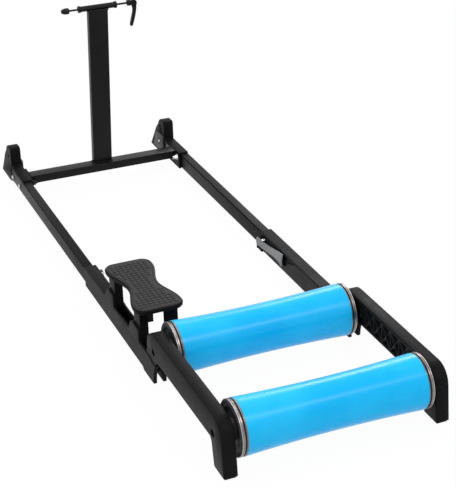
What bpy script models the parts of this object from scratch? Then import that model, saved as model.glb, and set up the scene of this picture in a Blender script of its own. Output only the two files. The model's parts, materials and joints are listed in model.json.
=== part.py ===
"""Bike rollers with a fork stand, modelled as separate pieces.

Two long side frames carry two parabolic rollers. A sleeve at the front of each side frame takes an
aluminium rail, and the rails carry the front feet, a crossbar and a leaning post with a fork tube
and a quick-release skewer. A cam lever on each sleeve locks its rail. A step with four legs stands
in two sockets of the left side frame.

Units are metres. In the design frame X is zero on the centre plane, Y is zero at the rear of the
rear feet and grows towards the fork stand, and Z is zero on the floor. The empty named
rollers_origin moves everything so that the origin is at the bottom centre of the whole object.
"""
import math

import bmesh
import bpy
from mathutils import Matrix, Vector

LEFT = -1
RIGHT = 1
SIDES = (("left", LEFT), ("right", RIGHT))

# Fits
SEAT_GAP = 0.0003            # between pieces that rest on or are fixed to each other
SLIDE_GAP = 0.0004           # between a rail and the walls of its sleeve
CUT_PAST = 0.0020            # how far a cutter runs past the face that it opens
SUNK = 0.0015                # how deep a shape that is joined to another is sunk in it

# Rollers
ROLLER_HALF_LENGTH = 0.1810
ROLLER_END_RADIUS = 0.0545
ROLLER_MIDDLE_RADIUS = 0.0500
ROLLER_WALL = 0.0040
ROLLER_PROFILE_STEPS = 4     # on each half of the curved profile
CAP_SPIGOT = 0.0100
CAP_SPIGOT_WALL = 0.0030
CAP_GROOVE_DROP = 0.0040     # from the radius at the roller's end
CAP_RING_DROP = 0.0003
CAP_STEP_DROP = 0.0065
CAP_GROOVE_RADIUS = ROLLER_END_RADIUS - CAP_GROOVE_DROP
CAP_RING_RADIUS = ROLLER_END_RADIUS - CAP_RING_DROP
CAP_STEP_RADIUS = ROLLER_END_RADIUS - CAP_STEP_DROP
CAP_GROOVE_WIDTH = 0.0020
CAP_RING_WIDTH = 0.0072
CAP_STEP_WIDTH = 0.0025
CAP_RIM = 0.0035
CAP_DISH_DEPTH = 0.0060
CAP_HUB_WALL = 0.0070
CAP_HUB_PROUD = 0.0015
CAP_WEB_INSIDE = 0.0015
HUB_FACE_X = ROLLER_HALF_LENGTH + CAP_GROOVE_WIDTH + CAP_RING_WIDTH + CAP_STEP_WIDTH + CAP_HUB_PROUD

# Axles and bearings
AXLE_RADIUS = 0.0050
AXLE_SEAT_DEPTH = 0.0060
AXLE_END_BORE_DEPTH = 0.0120
AXLE_SCREW_RADIUS = 0.0028
AXLE_SCREW_REACH = 0.0110    # into the axle's end
SCREW_SOCKET_RADIUS = 0.0025
SCREW_SOCKET_DEPTH = 0.0022
AXLE_SCREW_HEAD_RADIUS = 0.0052
AXLE_SCREW_HEAD_DEPTH = 0.0045
AXLE_COUNTERBORE_RADIUS = 0.0080
AXLE_COUNTERBORE_DEPTH = 0.0100
SPACER_LENGTH = 0.0056
SPACER_WALL = 0.0027
BEARING_OUTER_RADIUS = 0.0130
BEARING_WIDTH = 0.0080
BEARING_RING = 0.0026
SHIELD_DEPTH = 0.0005
BEARING_SHOULDER = 0.0022

# Facets of round pieces
ROLLER_SEGMENTS = 24
BEARING_SEGMENTS = 16
SMALL_SEGMENTS = 16
SCREW_SEGMENTS = 12

# Rear beam of the side frames
FRAME_INNER = HUB_FACE_X + SPACER_LENGTH + 2 * SEAT_GAP   # centre plane to the inner face
FRAME_THICKNESS = 0.0280
FRAME_OUTER = FRAME_INNER + FRAME_THICKNESS
ROLLER_FLOOR_CLEARANCE = 0.0190
AXLE_HEIGHT = ROLLER_END_RADIUS + ROLLER_FLOOR_CLEARANCE
EAR_RADIUS = 0.0389          # round front end of the beam, about the middle axle
BEAM_TOP = AXLE_HEIGHT + EAR_RADIUS
BEAM_DEPTH = 0.0534
BEAM_UNDERSIDE = BEAM_TOP - BEAM_DEPTH
BEAM_SINK = 0.0080           # how deep the beam's front end is sunk in the sleeve
FRAME_EDGE_ROUND = 0.0022
SLEEVE_EDGE_ROUND = 0.0015
REAR_FOOT_LENGTH = 0.0480
REAR_FOOT_LEAN = 0.0080      # how far the foot's front edge leans forward
REAR_EDGE_LEAN = 0.0060      # how far the rear edge leans forward
REAR_BEND_RADIUS = 0.0385
HEEL_CHAMFER = 0.0015
TOE_CHAMFER = 0.0030
UNDERSIDE_FILLET = 0.0100
PAD_THICKNESS = 0.0030
PAD_INSET = 0.0030

# Places of the rollers
REAR_AXLE_Y = 0.0480
ROLLER_SPACING = 0.3120
MIDDLE_AXLE_Y = REAR_AXLE_Y + ROLLER_SPACING

# Crossed ribs on the beam's open inner side
LATTICE_REAR_MARGIN = 0.0300 # solid beam between the rear foot and the ribs
LATTICE_FRONT_MARGIN = 0.0380   # solid beam round the middle axle
LATTICE_MARGIN = 0.0046      # flange left above and below the ribs
LATTICE_BAYS = 7
LATTICE_RIB = 0.0026
LATTICE_WALL = 0.0045        # outer wall left behind the ribs

# Telescoping rails
RAIL_WIDTH = 0.0200
RAIL_HEIGHT = 0.0380
RAIL_WALL = 0.0020
RAIL_LENGTH = 0.7370
RAIL_HELD = 0.0750           # length held in the sleeve when the rail is drawn out
RAIL_GROOVE = 0.0012
RAIL_GROOVE_DROP = 0.0024    # top of the groove below the top of the rail
RAIL_GROOVE_COVER = 0.0008   # wall between the groove and the hollow
GLIDE_PLATE = 0.0040
GLIDE_SPIGOT = 0.0150
CAVITY_REAR_GAP = 0.0050     # left behind the rail when it is fully in
SLEEVE_SPARE = 0.1400        # reach of the sleeve that the rail's travel doesn't use

# Sleeve at the front of each side frame
SLEEVE_STEP_OUT = 0.0016     # the sleeve stands this far outside the beam
SLEEVE_OUTER_WALL = 0.0026
SLEEVE_INNER_WALL = 0.0046
SLEEVE_ROOF = 0.0046
SLEEVE_FLOOR = 0.0051
SLEEVE_UNDERSIDE = 0.0055
SLEEVE_REACH = 0.4600        # from the middle axle to the sleeve's front end
SLEEVE_OUTER = FRAME_OUTER + SLEEVE_STEP_OUT
RAIL_CENTRE_X = SLEEVE_OUTER - SLEEVE_OUTER_WALL - SLIDE_GAP - RAIL_WIDTH / 2
SLEEVE_INNER = RAIL_CENTRE_X - RAIL_WIDTH / 2 - SLIDE_GAP - SLEEVE_INNER_WALL
RAIL_CENTRE_Z = SLEEVE_UNDERSIDE + SLEEVE_FLOOR + SLIDE_GAP + RAIL_HEIGHT / 2
RAIL_TOP = RAIL_CENTRE_Z + RAIL_HEIGHT / 2
SLEEVE_TOP = RAIL_TOP + SLIDE_GAP + SLEEVE_ROOF
SLEEVE_FRONT_Y = MIDDLE_AXLE_Y + SLEEVE_REACH
RAIL_REAR_Y = SLEEVE_FRONT_Y - RAIL_HELD
RAIL_FRONT_Y = RAIL_REAR_Y + RAIL_LENGTH
RAIL_TRAVEL = SLEEVE_REACH - SLEEVE_SPARE
CAVITY_REAR_Y = RAIL_REAR_Y - GLIDE_PLATE - RAIL_TRAVEL - CAVITY_REAR_GAP

# Middle foot, where the beam runs into the sleeve
CHEEK_CLEARANCE_RADIUS = 0.0265   # round recess of the sleeve under the middle axle
CHEEK_ANGLES = (-50, -118)   # degrees, from the recess's front end to its rear end
MIDDLE_FOOT_LENGTH = 0.0590
MIDDLE_FOOT_AHEAD = 0.0030   # in front of the middle axle
MIDDLE_FOOT_START_Y = MIDDLE_AXLE_Y + MIDDLE_FOOT_AHEAD
MIDDLE_FOOT_END_Y = MIDDLE_FOOT_START_Y + MIDDLE_FOOT_LENGTH
MIDDLE_FOOT_TOE = 0.0070
MIDDLE_FOOT_SLOT = 0.0140    # open slot between the two cheeks of the middle foot
MIDDLE_FOOT_WEB = 0.0170     # solid foot in front of the slot
MIDDLE_FOOT_ROOF = 0.0100    # sleeve left above the slot
NOTCH_BEHIND = 0.0125        # rear end of the cheeks, behind the middle axle
NOTCH_Y = MIDDLE_AXLE_Y - NOTCH_BEHIND
NOTCH_RAMP = 0.0080
NOTCH_DROP = 0.0045
NOTCH_SETBACK = 0.0025
NOTCH_SINK = 0.0035          # the beam's end runs this far into the cheeks
CHEEK_REAR_EDGE = ((0.0010, 0.0085), (0.0075, 0.0180))   # in front of the notch, below the top
MIDDLE_FOOT_BACK = (0.0020, 0.0160)   # behind the foot, above the floor
VALLEY_RUN = 0.0121          # length of the fillet between the beam's ear and the sleeve's top
VALLEY_CURVE = ((0.08, 0.40), (0.41, 0.12))   # shares of the fillet's run and height
VALLEY_SINK = 0.0006         # how deep its front end is sunk in the sleeve
VALLEY_Y = MIDDLE_AXLE_Y + EAR_RADIUS + VALLEY_RUN

# Cam latches
LATCH_SETBACK = 0.0060       # pin behind the sleeve's front end
LATCH_Y = SLEEVE_FRONT_Y - LATCH_SETBACK
LATCH_AXIS_REACH = 0.0095    # pin's middle off the sleeve
LATCH_AXIS_X = SLEEVE_INNER - LATCH_AXIS_REACH
LATCH_PIN_RADIUS = 0.0025
LATCH_PIN_PROUD = 0.0010
LATCH_BARREL_RADIUS = 0.0062
LATCH_BARREL_PLAY = 0.0008   # between the lever's barrel and the bracket's ears
LATCH_BRACKET_LENGTH = 0.0200
LATCH_BRACKET_REACH = 0.0155 # how far the ears stand off the sleeve
LATCH_BRACKET_BELOW = 0.0200 # the bracket's ends, from the height of the clamp shoe
LATCH_BRACKET_ABOVE = 0.0195
LATCH_BRACKET_PLATE = 0.0021
LATCH_EAR = 0.0050
LATCH_LEVER_LENGTH = 0.1260
LATCH_REAR_Y = LATCH_Y - LATCH_LEVER_LENGTH
LATCH_BLADE_THICKNESS = 0.0034
LATCH_BLADE_GAP = 0.0018     # between the closed blade and the sleeve
LATCH_BLADE_X = SLEEVE_INNER - LATCH_BLADE_GAP - LATCH_BLADE_THICKNESS / 2
LATCH_BLADE_FLARE = 0.0035
LATCH_NECK = 0.0390          # behind this distance from the pin the blade flares inwards
LATCH_NECK_START = 0.0160    # the lever's centre line leaves the barrel this far behind the pin
LATCH_NECK_OFFSET = 0.0022   # and this far outside it
LATCH_NECK_TOP = (0.0260, 0.0012)    # behind the pin, below the barrel's top
LATCH_WAIST_TOP = (0.0640, 0.0170)   # behind the pin, above the clamp shoe's middle
LATCH_END = ((0.0300, 0.0218), (0.0040, 0.0260), (0.0, 0.0235), (0.0035, 0.0080), (0.0045, -0.0075),
             (0.0080, -0.0100), (0.0300, -0.0060))   # in front of the rear end, above the shoe's middle
LATCH_BELLY = ((0.0640, 0.0045), (0.0300, 0.0100))   # behind the pin, below the shoe's middle
LATCH_BLADE_STEPS = 4
SHOE_LENGTH = 0.0080
SHOE_HEIGHT = 0.0110
SHOE_DROP = 0.0040           # clamp shoe below the rail's middle
SHOE_Z = RAIL_CENTRE_Z - SHOE_DROP
LATCH_BRACKET_BOTTOM = SHOE_Z - LATCH_BRACKET_BELOW
LATCH_BRACKET_TOP = SHOE_Z + LATCH_BRACKET_ABOVE
LATCH_BARREL_BOTTOM = LATCH_BRACKET_BOTTOM + LATCH_EAR + LATCH_BARREL_PLAY
LATCH_BARREL_TOP = LATCH_BRACKET_TOP - LATCH_EAR - LATCH_BARREL_PLAY
ADJUSTER_SETBACK = 0.0240    # adjuster behind the latch's pin
ADJUSTER_Y = LATCH_Y - ADJUSTER_SETBACK
ADJUSTER_ABOVE = 0.0200      # above the clamp shoe's middle
ADJUSTER_Z = SHOE_Z + ADJUSTER_ABOVE
ADJUSTER_RADIUS = 0.0032
ADJUSTER_LENGTH = 0.0022

# Finger recess behind the cam lever
RECESS_DEPTH = 0.0030
RECESS_LENGTH = 0.0660
RECESS_UNDER_LEVER = 0.0040  # how far the recess runs in front of the lever's end
RECESS_END_Y = LATCH_REAR_Y + RECESS_UNDER_LEVER
RECESS_ROOF = 0.0050         # sleeve left above the recess
RECESS_HEIGHT = 0.0290
RECESS_RAMP = ((0.64, 0.45), (0.82, 0.86))   # shares of the recess's length and height

# Front feet
SEAT_AHEAD = 0.0180          # seat for the axle of a third roller, in front of the rail's end
FRONT_SEAT_Y = RAIL_FRONT_Y + SEAT_AHEAD
FRONT_SEAT_Z = 0.0750
LUG_SLEEVE_LENGTH = 0.1200   # how far the foot reaches back over the rail
LUG_SLEEVE_REAR_Y = RAIL_FRONT_Y - LUG_SLEEVE_LENGTH
LUG_ROOF = 0.0042
LUG_SLEEVE_TOP = RAIL_TOP + SEAT_GAP + LUG_ROOF
LUG_SKIRT = 0.0030           # the foot's sleeve hangs this far below the rail
LUG_SLEEVE_BOTTOM = RAIL_CENTRE_Z - RAIL_HEIGHT / 2 - LUG_SKIRT
LUG_EAR_BEHIND = 0.0270      # rear edge of the ear, behind the seat
LUG_EAR_REAR_Y = FRONT_SEAT_Y - LUG_EAR_BEHIND
LUG_EAR_RADIUS = 0.0240
LUG_EAR_SETBACK = 0.0045     # centre of the ear's round top, behind the seat
LUG_EAR_ABOVE = 0.0290       # top of the ear above the seat
LUG_EAR_TOP = FRONT_SEAT_Z + LUG_EAR_ABOVE
LUG_EAR_CORNER = 0.0070
LUG_EAR_FRONT_ANGLE = 20      # degrees above level, where the round top meets the slope
LUG_FOOT_AHEAD = 0.0030      # in front of the seat
LUG_FOOT_START_Y = FRONT_SEAT_Y + LUG_FOOT_AHEAD
LUG_FOOT_LENGTH = 0.0840
LUG_FOOT_END_Y = LUG_FOOT_START_Y + LUG_FOOT_LENGTH
LUG_LIP = 0.0040             # upright front edge at the bottom of a front foot
LUG_TIP_CHAMFER = 0.0020
LUG_SLOPE = ((0.0310, 0.0460), (0.0490, 0.0700))   # sloping front: behind the tip, above the floor
LUG_HEEL = 0.0100
LUG_EDGE_ROUND = 0.0018
SEAT_BORE_RADIUS = 0.0052
SEAT_COUNTERBORE_RADIUS = 0.0062
SEAT_POCKET_RADIUS = 0.0130
SEAT_POCKET_DEPTH = 0.0050
SEAT_BOSS_RADIUS = 0.0088

# Grey plates on the front feet
PLATE_THICKNESS = 0.0020
PLATE_INSET = 0.0015         # from the ear's rear edge
PLATE_BOTTOM = 0.0150
PLATE_HEIGHT = 0.0480
PLATE_BASE_LENGTH = 0.0745
PLATE_SHOULDER_LENGTH = 0.0585
PLATE_SHOULDER_DROP = 0.0080
PLATE_TOP_LENGTH = 0.0465
PLATE_BOLT_AHEAD = 0.0040    # in front of the seat
PLATE_BOLT_ABOVE = 0.0250    # above the plate's bottom edge
PLATE_BOLT_Y = FRONT_SEAT_Y + PLATE_BOLT_AHEAD
PLATE_BOLT_Z = PLATE_BOTTOM + PLATE_BOLT_ABOVE
PLATE_BOSS_RADIUS = 0.0078
PLATE_BOSS_PROUD = 0.0022
PLATE_BOLT_RADIUS = 0.0040
PLATE_BOLT_PROUD = 0.0018

# Fasteners of the front frame
RAIL_BOLT_SETBACKS = (0.0740, 0.0080)   # behind the rail's front end
RAIL_BOLT_DROP = 0.0080      # below the rail's middle
RAIL_BOLT_YS = tuple(RAIL_FRONT_Y - setback for setback in RAIL_BOLT_SETBACKS)
RAIL_BOLT_Z = RAIL_CENTRE_Z - RAIL_BOLT_DROP
RAIL_BOLT_RADIUS = 0.0030
RAIL_BOLT_HEAD_RADIUS = 0.0062
RAIL_BOLT_CROWN_RADIUS = 0.0054
RAIL_BOLT_HEAD = 0.0026
LOCK_NUT_AHEAD = 0.0100      # in front of the foot's rear end
LOCK_NUT_RISE = 0.0100       # above the rail's middle
LOCK_NUT_Y = LUG_SLEEVE_REAR_Y + LOCK_NUT_AHEAD
LOCK_NUT_Z = RAIL_CENTRE_Z + LOCK_NUT_RISE
LOCK_NUT_STEPS = ((0.0082, 0.0020), (0.0062, 0.0060), (0.0036, 0.0050))   # radius, length

# Crossbar, post and fork tube
CROSSBAR_AHEAD = 0.0230      # in front of the feet's rear ends
CROSSBAR_REAR_Y = LUG_SLEEVE_REAR_Y + CROSSBAR_AHEAD
CROSSBAR_DEPTH = 0.0350
CROSSBAR_DROP = 0.0005       # top of the crossbar below the top of the feet
CROSSBAR_TOP = LUG_SLEEVE_TOP - CROSSBAR_DROP
CROSSBAR_HEIGHT = 0.0210
CROSSBAR_WALL = 0.0025
CROSSBAR_CORNER = 0.0030
FLANGE_THICKNESS = 0.0035
FLANGE_REACH = 0.0300        # how far the flange runs in front of the crossbar
FLANGE_DROP = 0.0060         # how far it hangs below the crossbar
FLANGE_CHAMFER = 0.0060
POST_WIDTH = 0.0500
POST_DEPTH = 0.0200
POST_WALL = 0.0020
POST_CORNER = 0.0025
POST_AHEAD = 0.0200          # post's middle in front of the crossbar's rear face
POST_BASE_Y = CROSSBAR_REAR_Y + POST_AHEAD
POST_LEAN_BACK = 0.0570      # how far the fork tube lies behind the post's base
FORK_TUBE_Y = POST_BASE_Y - POST_LEAN_BACK
FORK_TUBE_Z = 0.4865
FORK_TUBE_RADIUS = 0.0070
FORK_TUBE_BORE_RADIUS = 0.0032
FORK_TUBE_LENGTH = 0.1000    # the width between the dropouts of a front fork
FORK_COLLAR_RADIUS = 0.0086  # the tube's thicker ends
FORK_COLLAR_LENGTH = 0.0060
GUSSET_THICKNESS = 0.0060
COPE_SHARE = 0.45            # the coped top ends this share of the tube's radius below its centre
TOP_GUSSET = 0.0110
BASE_GUSSET = 0.0190

# Skewer
SKEWER_RADIUS = 0.0025
ROD_SETBACK = 0.0020         # the rod's end inside the nut's tip
NUT_GAP = 0.0215             # between the fork tube and the nut when the skewer is open
NUT_COLLAR = 0.0045
NUT_SHOULDER = 0.0015
NUT_CONE = 0.0125
NUT_TIP = 0.0025
NUT_RADIUS = 0.0078
NUT_STEP = 0.0010            # difference between the collar's radius and the cone's
NUT_CONE_RADIUS = NUT_RADIUS - NUT_STEP
NUT_TIP_RADIUS = 0.0048
NUT_TIP_ROUND = 0.0014       # difference between the radii before and at the tip
NUT_INNER_X = -FORK_TUBE_LENGTH / 2 - NUT_GAP
NUT_OUTER_X = NUT_INNER_X - NUT_COLLAR - NUT_SHOULDER - NUT_CONE - NUT_TIP
HEAD_GAP = 0.0280            # between the fork tube and the head when the skewer is open
HEAD_LENGTH = 0.0106
HEAD_RADIUS = 0.0076
HEAD_CHAMFER = 0.0012        # across the radius
HEAD_CHAMFER_LENGTH = 0.0015
HEAD_INNER_X = FORK_TUBE_LENGTH / 2 + HEAD_GAP
HEAD_OUTER_X = HEAD_INNER_X + HEAD_LENGTH
CAM_RADIUS = 0.0068
CAM_PLAY = 0.0006
CAM_X = HEAD_OUTER_X + CAM_PLAY + CAM_RADIUS
CAM_WIDTH = 0.0100
CAM_SLOT = 2 * (SKEWER_RADIUS + SEAT_GAP)
CAM_PIN_RADIUS = 0.0018
CAM_PIN_SETBACK = 0.0005     # ends of the cam pin inside the cam's faces
EYE_WALL = 0.0026
EYE_RADIUS = CAM_PIN_RADIUS + EYE_WALL
EYE_THICKNESS = 0.0038
EYE_POCKET_GROW = 0.0001     # the eye's pocket beside the slot's faces
QR_BLADE_LENGTH = 0.0570
QR_BLADE_TOP_DROP = 0.0035
QR_BLADE_OFFSET = 0.0025
QR_BLADE_BOW = 0.0134
QR_BLADE_THICKNESS = 0.0052
QR_BLADE_TIP_THICKNESS = 0.0040
QR_BLADE_SIDE_STEP = 0.0003
QR_BLADE_STEPS = 6

# Step on the left side frame
STEP_OFFSET = 0.0465         # step's middle inside the sleeve's outer face
STEP_AHEAD = 0.1800          # step's middle in front of the middle axle
STEP_CENTRE_X = -(SLEEVE_OUTER - STEP_OFFSET)
STEP_CENTRE_Y = MIDDLE_AXLE_Y + STEP_AHEAD
STEP_HALF_LENGTH = 0.1160
STEP_END_HALF_WIDTH = 0.0520
STEP_WAIST_HALF_WIDTH = 0.0335
STEP_WIDEN_RATE = 1.35       # the step has its full width from 1 / this of its half length on
STEP_CORNER_LENGTH = 0.0240
STEP_TOP = 0.1330
STEP_THICKNESS = 0.0180
STEP_UNDERSIDE = STEP_TOP - STEP_THICKNESS
STEP_SKIN = 0.0040           # top of the step above its ribs
STEP_SKIRT = 0.0036          # wall round the hollow under the step
STEP_RIB = 0.0026
STEP_BAYS = 6                # rows of pockets under the step
STEP_POCKET_STEPS = 4        # points on a pocket's curved edge
STEP_EDGE_ROUND = 0.0030
SOCKET_OUTER_WALL = 0.0048
SOCKET_END_WALL = 0.0015
SOCKET_FLOOR_WALL = 0.0026
SOCKET_FLOOR = RAIL_TOP + SLIDE_GAP + SOCKET_FLOOR_WALL
SOCKET_REAR_REACH = 0.0950   # from the step's middle to the rear socket's rear end
SOCKET_REAR_Y = STEP_CENTRE_Y - SOCKET_REAR_REACH
SOCKET_LENGTH = 0.0375
SOCKET_BED_SETBACK = 0.0030  # the opened part of the sleeve starts this far past the valley
SOCKET_FRONT_REACH = 0.0670  # from the step's middle to the front socket's rear end
SOCKET_FRONT_Y = STEP_CENTRE_Y + SOCKET_FRONT_REACH
SOCKET_CLEARANCE = 0.0010
TAB_HEIGHT = 0.0280
TAB_TOP = SLEEVE_TOP + TAB_HEIGHT
FRONT_TAB_CREST = 0.0020     # level top of the front tab past its socket
FRONT_TAB_RAMP = 0.0270
REAR_TAB_CREST = 0.0030
REAR_TAB_SHOULDER = 0.0160
REAR_TAB_SHOULDER_DROP = 0.0060
REAR_TAB_RAMP = 0.0290
LEG_WALL = 0.0040
RIGHT_LEG_REACH = 0.0405     # outer face of the right legs, from the step's middle
RIGHT_LEG_OUTER_X = STEP_CENTRE_X + RIGHT_LEG_REACH
RIGHT_LEG_WIDTH = 0.0300


# Scene set-up

def clear_scene():
    """Remove every object, so that the script starts from nothing."""
    for obj in list(bpy.data.objects):
        bpy.data.objects.remove(obj, do_unlink=True)


def new_collection(name):
    """Return a new collection linked to the scene."""
    collection = bpy.data.collections.new(name)
    bpy.context.scene.collection.children.link(collection)
    return collection


def linear(channel):
    """Turn one sRGB channel between 0 and 1 into its linear value."""
    return channel / 12.92 if channel <= 0.04045 else ((channel + 0.055) / 1.055) ** 2.4


def make_material(name, hex_colour, roughness, metallic):
    """Return a Principled material of one sRGB colour."""
    channels = [int(hex_colour[index:index + 2], 16) / 255 for index in (0, 2, 4)]
    material = bpy.data.materials.new(name)
    material.use_nodes = True
    shader = material.node_tree.nodes["Principled BSDF"]
    shader.inputs["Base Color"].default_value = [linear(value) for value in channels] + [1.0]
    shader.inputs["Roughness"].default_value = roughness
    shader.inputs["Metallic"].default_value = metallic
    material.diffuse_color = shader.inputs["Base Color"].default_value
    return material


clear_scene()
PARTS = new_collection("bike_rollers")
CUTTERS = new_collection("cutters")
NYLON = make_material("black_nylon", "2A2A2C", 0.50, 0.0)
BLACK_PAINT = make_material("black_powder_coat", "1C1C1E", 0.42, 0.0)
GREY_PLASTIC = make_material("silver_grey_plastic", "85878A", 0.45, 0.0)
BLUE = make_material("blue_polymer", "29B0F2", 0.28, 0.0)
CAP_METAL = make_material("roller_cap_metal", "6F7276", 0.32, 1.0)
ALUMINIUM = make_material("black_anodised_aluminium", "3A3B3E", 0.38, 1.0)
STEEL = make_material("zinc_plated_steel", "C4C7CB", 0.28, 1.0)
GREY_PLATE = make_material("grey_steel_plate", "6A6B6D", 0.45, 0.6)
RUBBER = make_material("black_rubber", "151515", 0.85, 0.0)

OVERALL_LEFT = STEP_CENTRE_X - STEP_END_HALF_WIDTH
OVERALL_REAR = min(0.0, REAR_AXLE_Y - ROLLER_END_RADIUS)
OVERALL_CENTRE_X = (OVERALL_LEFT + SLEEVE_OUTER) / 2
OVERALL_CENTRE_Y = (OVERALL_REAR + LUG_FOOT_END_Y) / 2
ORIGIN = bpy.data.objects.new("rollers_origin", None)
ORIGIN.location = (-OVERALL_CENTRE_X, -OVERALL_CENTRE_Y, 0.0)
PARTS.objects.link(ORIGIN)


def body_axis(name, location):
    """Return an empty on a joint's axis, which carries the pieces of one moving body."""
    axis = bpy.data.objects.new(name, None)
    axis.location = location
    axis.parent = ORIGIN
    PARTS.objects.link(axis)
    return axis


def attach(piece, axis):
    """Hang a piece on a body's empty without moving it."""
    piece.parent = axis
    piece.matrix_parent_inverse = Matrix.Translation(-Vector(axis.location))
    return piece


# Shape tools

def arc(centre, radius, start, end, count):
    """Return count + 1 points of an arc between two angles in degrees."""
    angles = [math.radians(start + (end - start) * index / count) for index in range(count + 1)]
    return [(centre[0] + radius * math.cos(a), centre[1] + radius * math.sin(a)) for a in angles]


def rectangle(low, high):
    """Return the four corners between two opposite corners."""
    return [(low[0], low[1]), (high[0], low[1]), (high[0], high[1]), (low[0], high[1])]


def rounded_rectangle(centre, width, height, radius, count=2):
    """Return a rectangle's outline with round corners."""
    corners = ((1, 1, 0), (-1, 1, 90), (-1, -1, 180), (1, -1, 270))
    points = []
    for sign_u, sign_v, start in corners:
        middle = (centre[0] + sign_u * (width / 2 - radius), centre[1] + sign_v * (height / 2 - radius))
        points += arc(middle, radius, start, start + 90, count)
    return points


def mirrored(points, side):
    """Return points whose first coordinate is on the given side of the centre plane."""
    return [(side * first, second) for first, second in points]


AXIS_PLACES = {
    "X": Matrix(((0, 0, 1, 0), (1, 0, 0, 0), (0, 1, 0, 0), (0, 0, 0, 1))),
    "Y": Matrix(((1, 0, 0, 0), (0, 0, -1, 0), (0, 1, 0, 0), (0, 0, 0, 1))),
    "Z": Matrix.Identity(4),
}
AXIS_SHIFTS = {"X": Vector((1, 0, 0)), "Y": Vector((0, 1, 0)), "Z": Vector((0, 0, 1))}


def new_piece(name, mesh, place, material):
    """Return an object for a mesh: a part where it has a material, and a hidden cutter where not."""
    piece = bpy.data.objects.new(name, mesh)
    piece.parent = ORIGIN
    piece.matrix_basis = place
    if material is None:
        piece.hide_render = True
        piece.display_type = "WIRE"
        CUTTERS.objects.link(piece)
    else:
        mesh.materials.append(material)
        PARTS.objects.link(piece)
    return piece


def prism(name, loops, low, high, axis, material=None, frame=None):
    """Return flat loops extruded along an axis from low to high.

    The loops lie in YZ for the axis X, in XZ for Y and in XY for Z. A second loop is a hole.
    """
    curve = bpy.data.curves.new(name + "_outline", "CURVE")
    curve.dimensions = "2D"
    curve.fill_mode = "BOTH"
    curve.extrude = (high - low) / 2
    for loop in loops:
        spline = curve.splines.new("POLY")
        spline.points.add(len(loop) - 1)
        for point, (first, second) in zip(spline.points, loop):
            point.co = (first, second, 0.0, 1.0)
        spline.use_cyclic_u = True
    outline = bpy.data.objects.new(name + "_outline", curve)
    PARTS.objects.link(outline)
    evaluated = outline.evaluated_get(bpy.context.evaluated_depsgraph_get())
    mesh = bpy.data.meshes.new_from_object(evaluated)
    bpy.data.objects.remove(outline)
    weld_flat(mesh, join_faces=len(loops) == 1)
    place = Matrix.Translation(AXIS_SHIFTS[axis] * (low + high) / 2) @ AXIS_PLACES[axis]
    if frame is not None:
        place = frame @ place
    return new_piece(name, mesh, place, material)


def weld_flat(mesh, join_faces):
    """Weld a filled curve's caps to its walls and, on an outline without holes, join the caps' triangles."""
    build = bmesh.new()
    build.from_mesh(mesh)
    bmesh.ops.remove_doubles(build, verts=build.verts, dist=0.000001)
    if join_faces:
        bmesh.ops.dissolve_limit(build, angle_limit=0.001, verts=build.verts, edges=build.edges)
    bmesh.ops.recalc_face_normals(build, faces=build.faces)
    build.to_mesh(mesh)
    build.free()


def box(name, low, high, material=None):
    """Return a box between two corners."""
    low = Vector(low)
    high = Vector(high)
    build = bmesh.new()
    bmesh.ops.create_cube(build, size=1.0)
    bmesh.ops.scale(build, vec=high - low, verts=build.verts)
    mesh = bpy.data.meshes.new(name)
    build.to_mesh(mesh)
    build.free()
    return new_piece(name, mesh, Matrix.Translation((low + high) / 2), material)


def side_box(name, side, inner, outer, y_range, z_range, material=None):
    """Return a box on one side, between two distances from the centre plane."""
    x_low, x_high = sorted((side * inner, side * outer))
    return box(name, (x_low, y_range[0], z_range[0]), (x_high, y_range[1], z_range[1]), material)


def side_prism(name, side, loops, inner, outer, material=None):
    """Return YZ loops extruded between two distances from the centre plane."""
    x_low, x_high = sorted((side * inner, side * outer))
    return prism(name, loops, x_low, x_high, "X", material)


def turned(name, profile, centre, axis, segments, material=None, closed=True):
    """Return a profile of (radius, height) points turned about an axis through centre.

    An open profile starts and ends on the axis. The points are put in the order in which the outer
    side runs down, so that the faces point out.
    """
    area = sum(a[0] * b[1] - b[0] * a[1] for a, b in zip(profile, profile[1:] + profile[:1]))
    points = profile if area < 0 else profile[::-1]
    edges = [(index, index + 1) for index in range(len(points) - 1)]
    if closed:
        edges.append((len(points) - 1, 0))
    mesh = bpy.data.meshes.new(name)
    mesh.from_pydata([(radius, 0.0, height) for radius, height in points], edges, [])
    turns = {"X": Matrix.Rotation(math.pi / 2, 4, "Y"), "Y": Matrix.Rotation(-math.pi / 2, 4, "X"),
             "Z": Matrix.Identity(4)}
    piece = new_piece(name, mesh, Matrix.Translation(centre) @ turns[axis], material)
    screw = piece.modifiers.new("turn", "SCREW")
    screw.axis = "Z"
    screw.steps = segments
    screw.render_steps = segments
    screw.use_merge_vertices = True
    screw.merge_threshold = 0.00001
    screw.use_smooth_shade = True
    return piece


def ring_profile(inner, outer, low, high):
    """Return the profile of a plain ring."""
    return [(inner, low), (outer, low), (outer, high), (inner, high)]


def disc_profile(radius, low, high):
    """Return the open profile of a plain cylinder."""
    return [(0.0, high), (radius, high), (radius, low), (0.0, low)]


def round_edges(piece, width, segments=2):
    """Round a prism's sharp edges."""
    bevel = piece.modifiers.new("edges", "BEVEL")
    bevel.width = width
    bevel.segments = segments
    bevel.limit_method = "ANGLE"
    bevel.angle_limit = math.radians(50)
    return piece


def combine(piece, other, operation):
    """Cut, join or intersect a piece with another, which becomes a hidden cutter."""
    boolean = piece.modifiers.new(operation.lower(), "BOOLEAN")
    boolean.operation = operation
    boolean.object = other
    boolean.solver = "EXACT"
    if other.name not in CUTTERS.objects:
        PARTS.objects.unlink(other)
        CUTTERS.objects.link(other)
        other.hide_render = True
        other.display_type = "WIRE"
    return piece


def cut(piece, *cutters):
    """Cut a piece with each of the cutters."""
    for cutter in cutters:
        combine(piece, cutter, "DIFFERENCE")
    return piece


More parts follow.
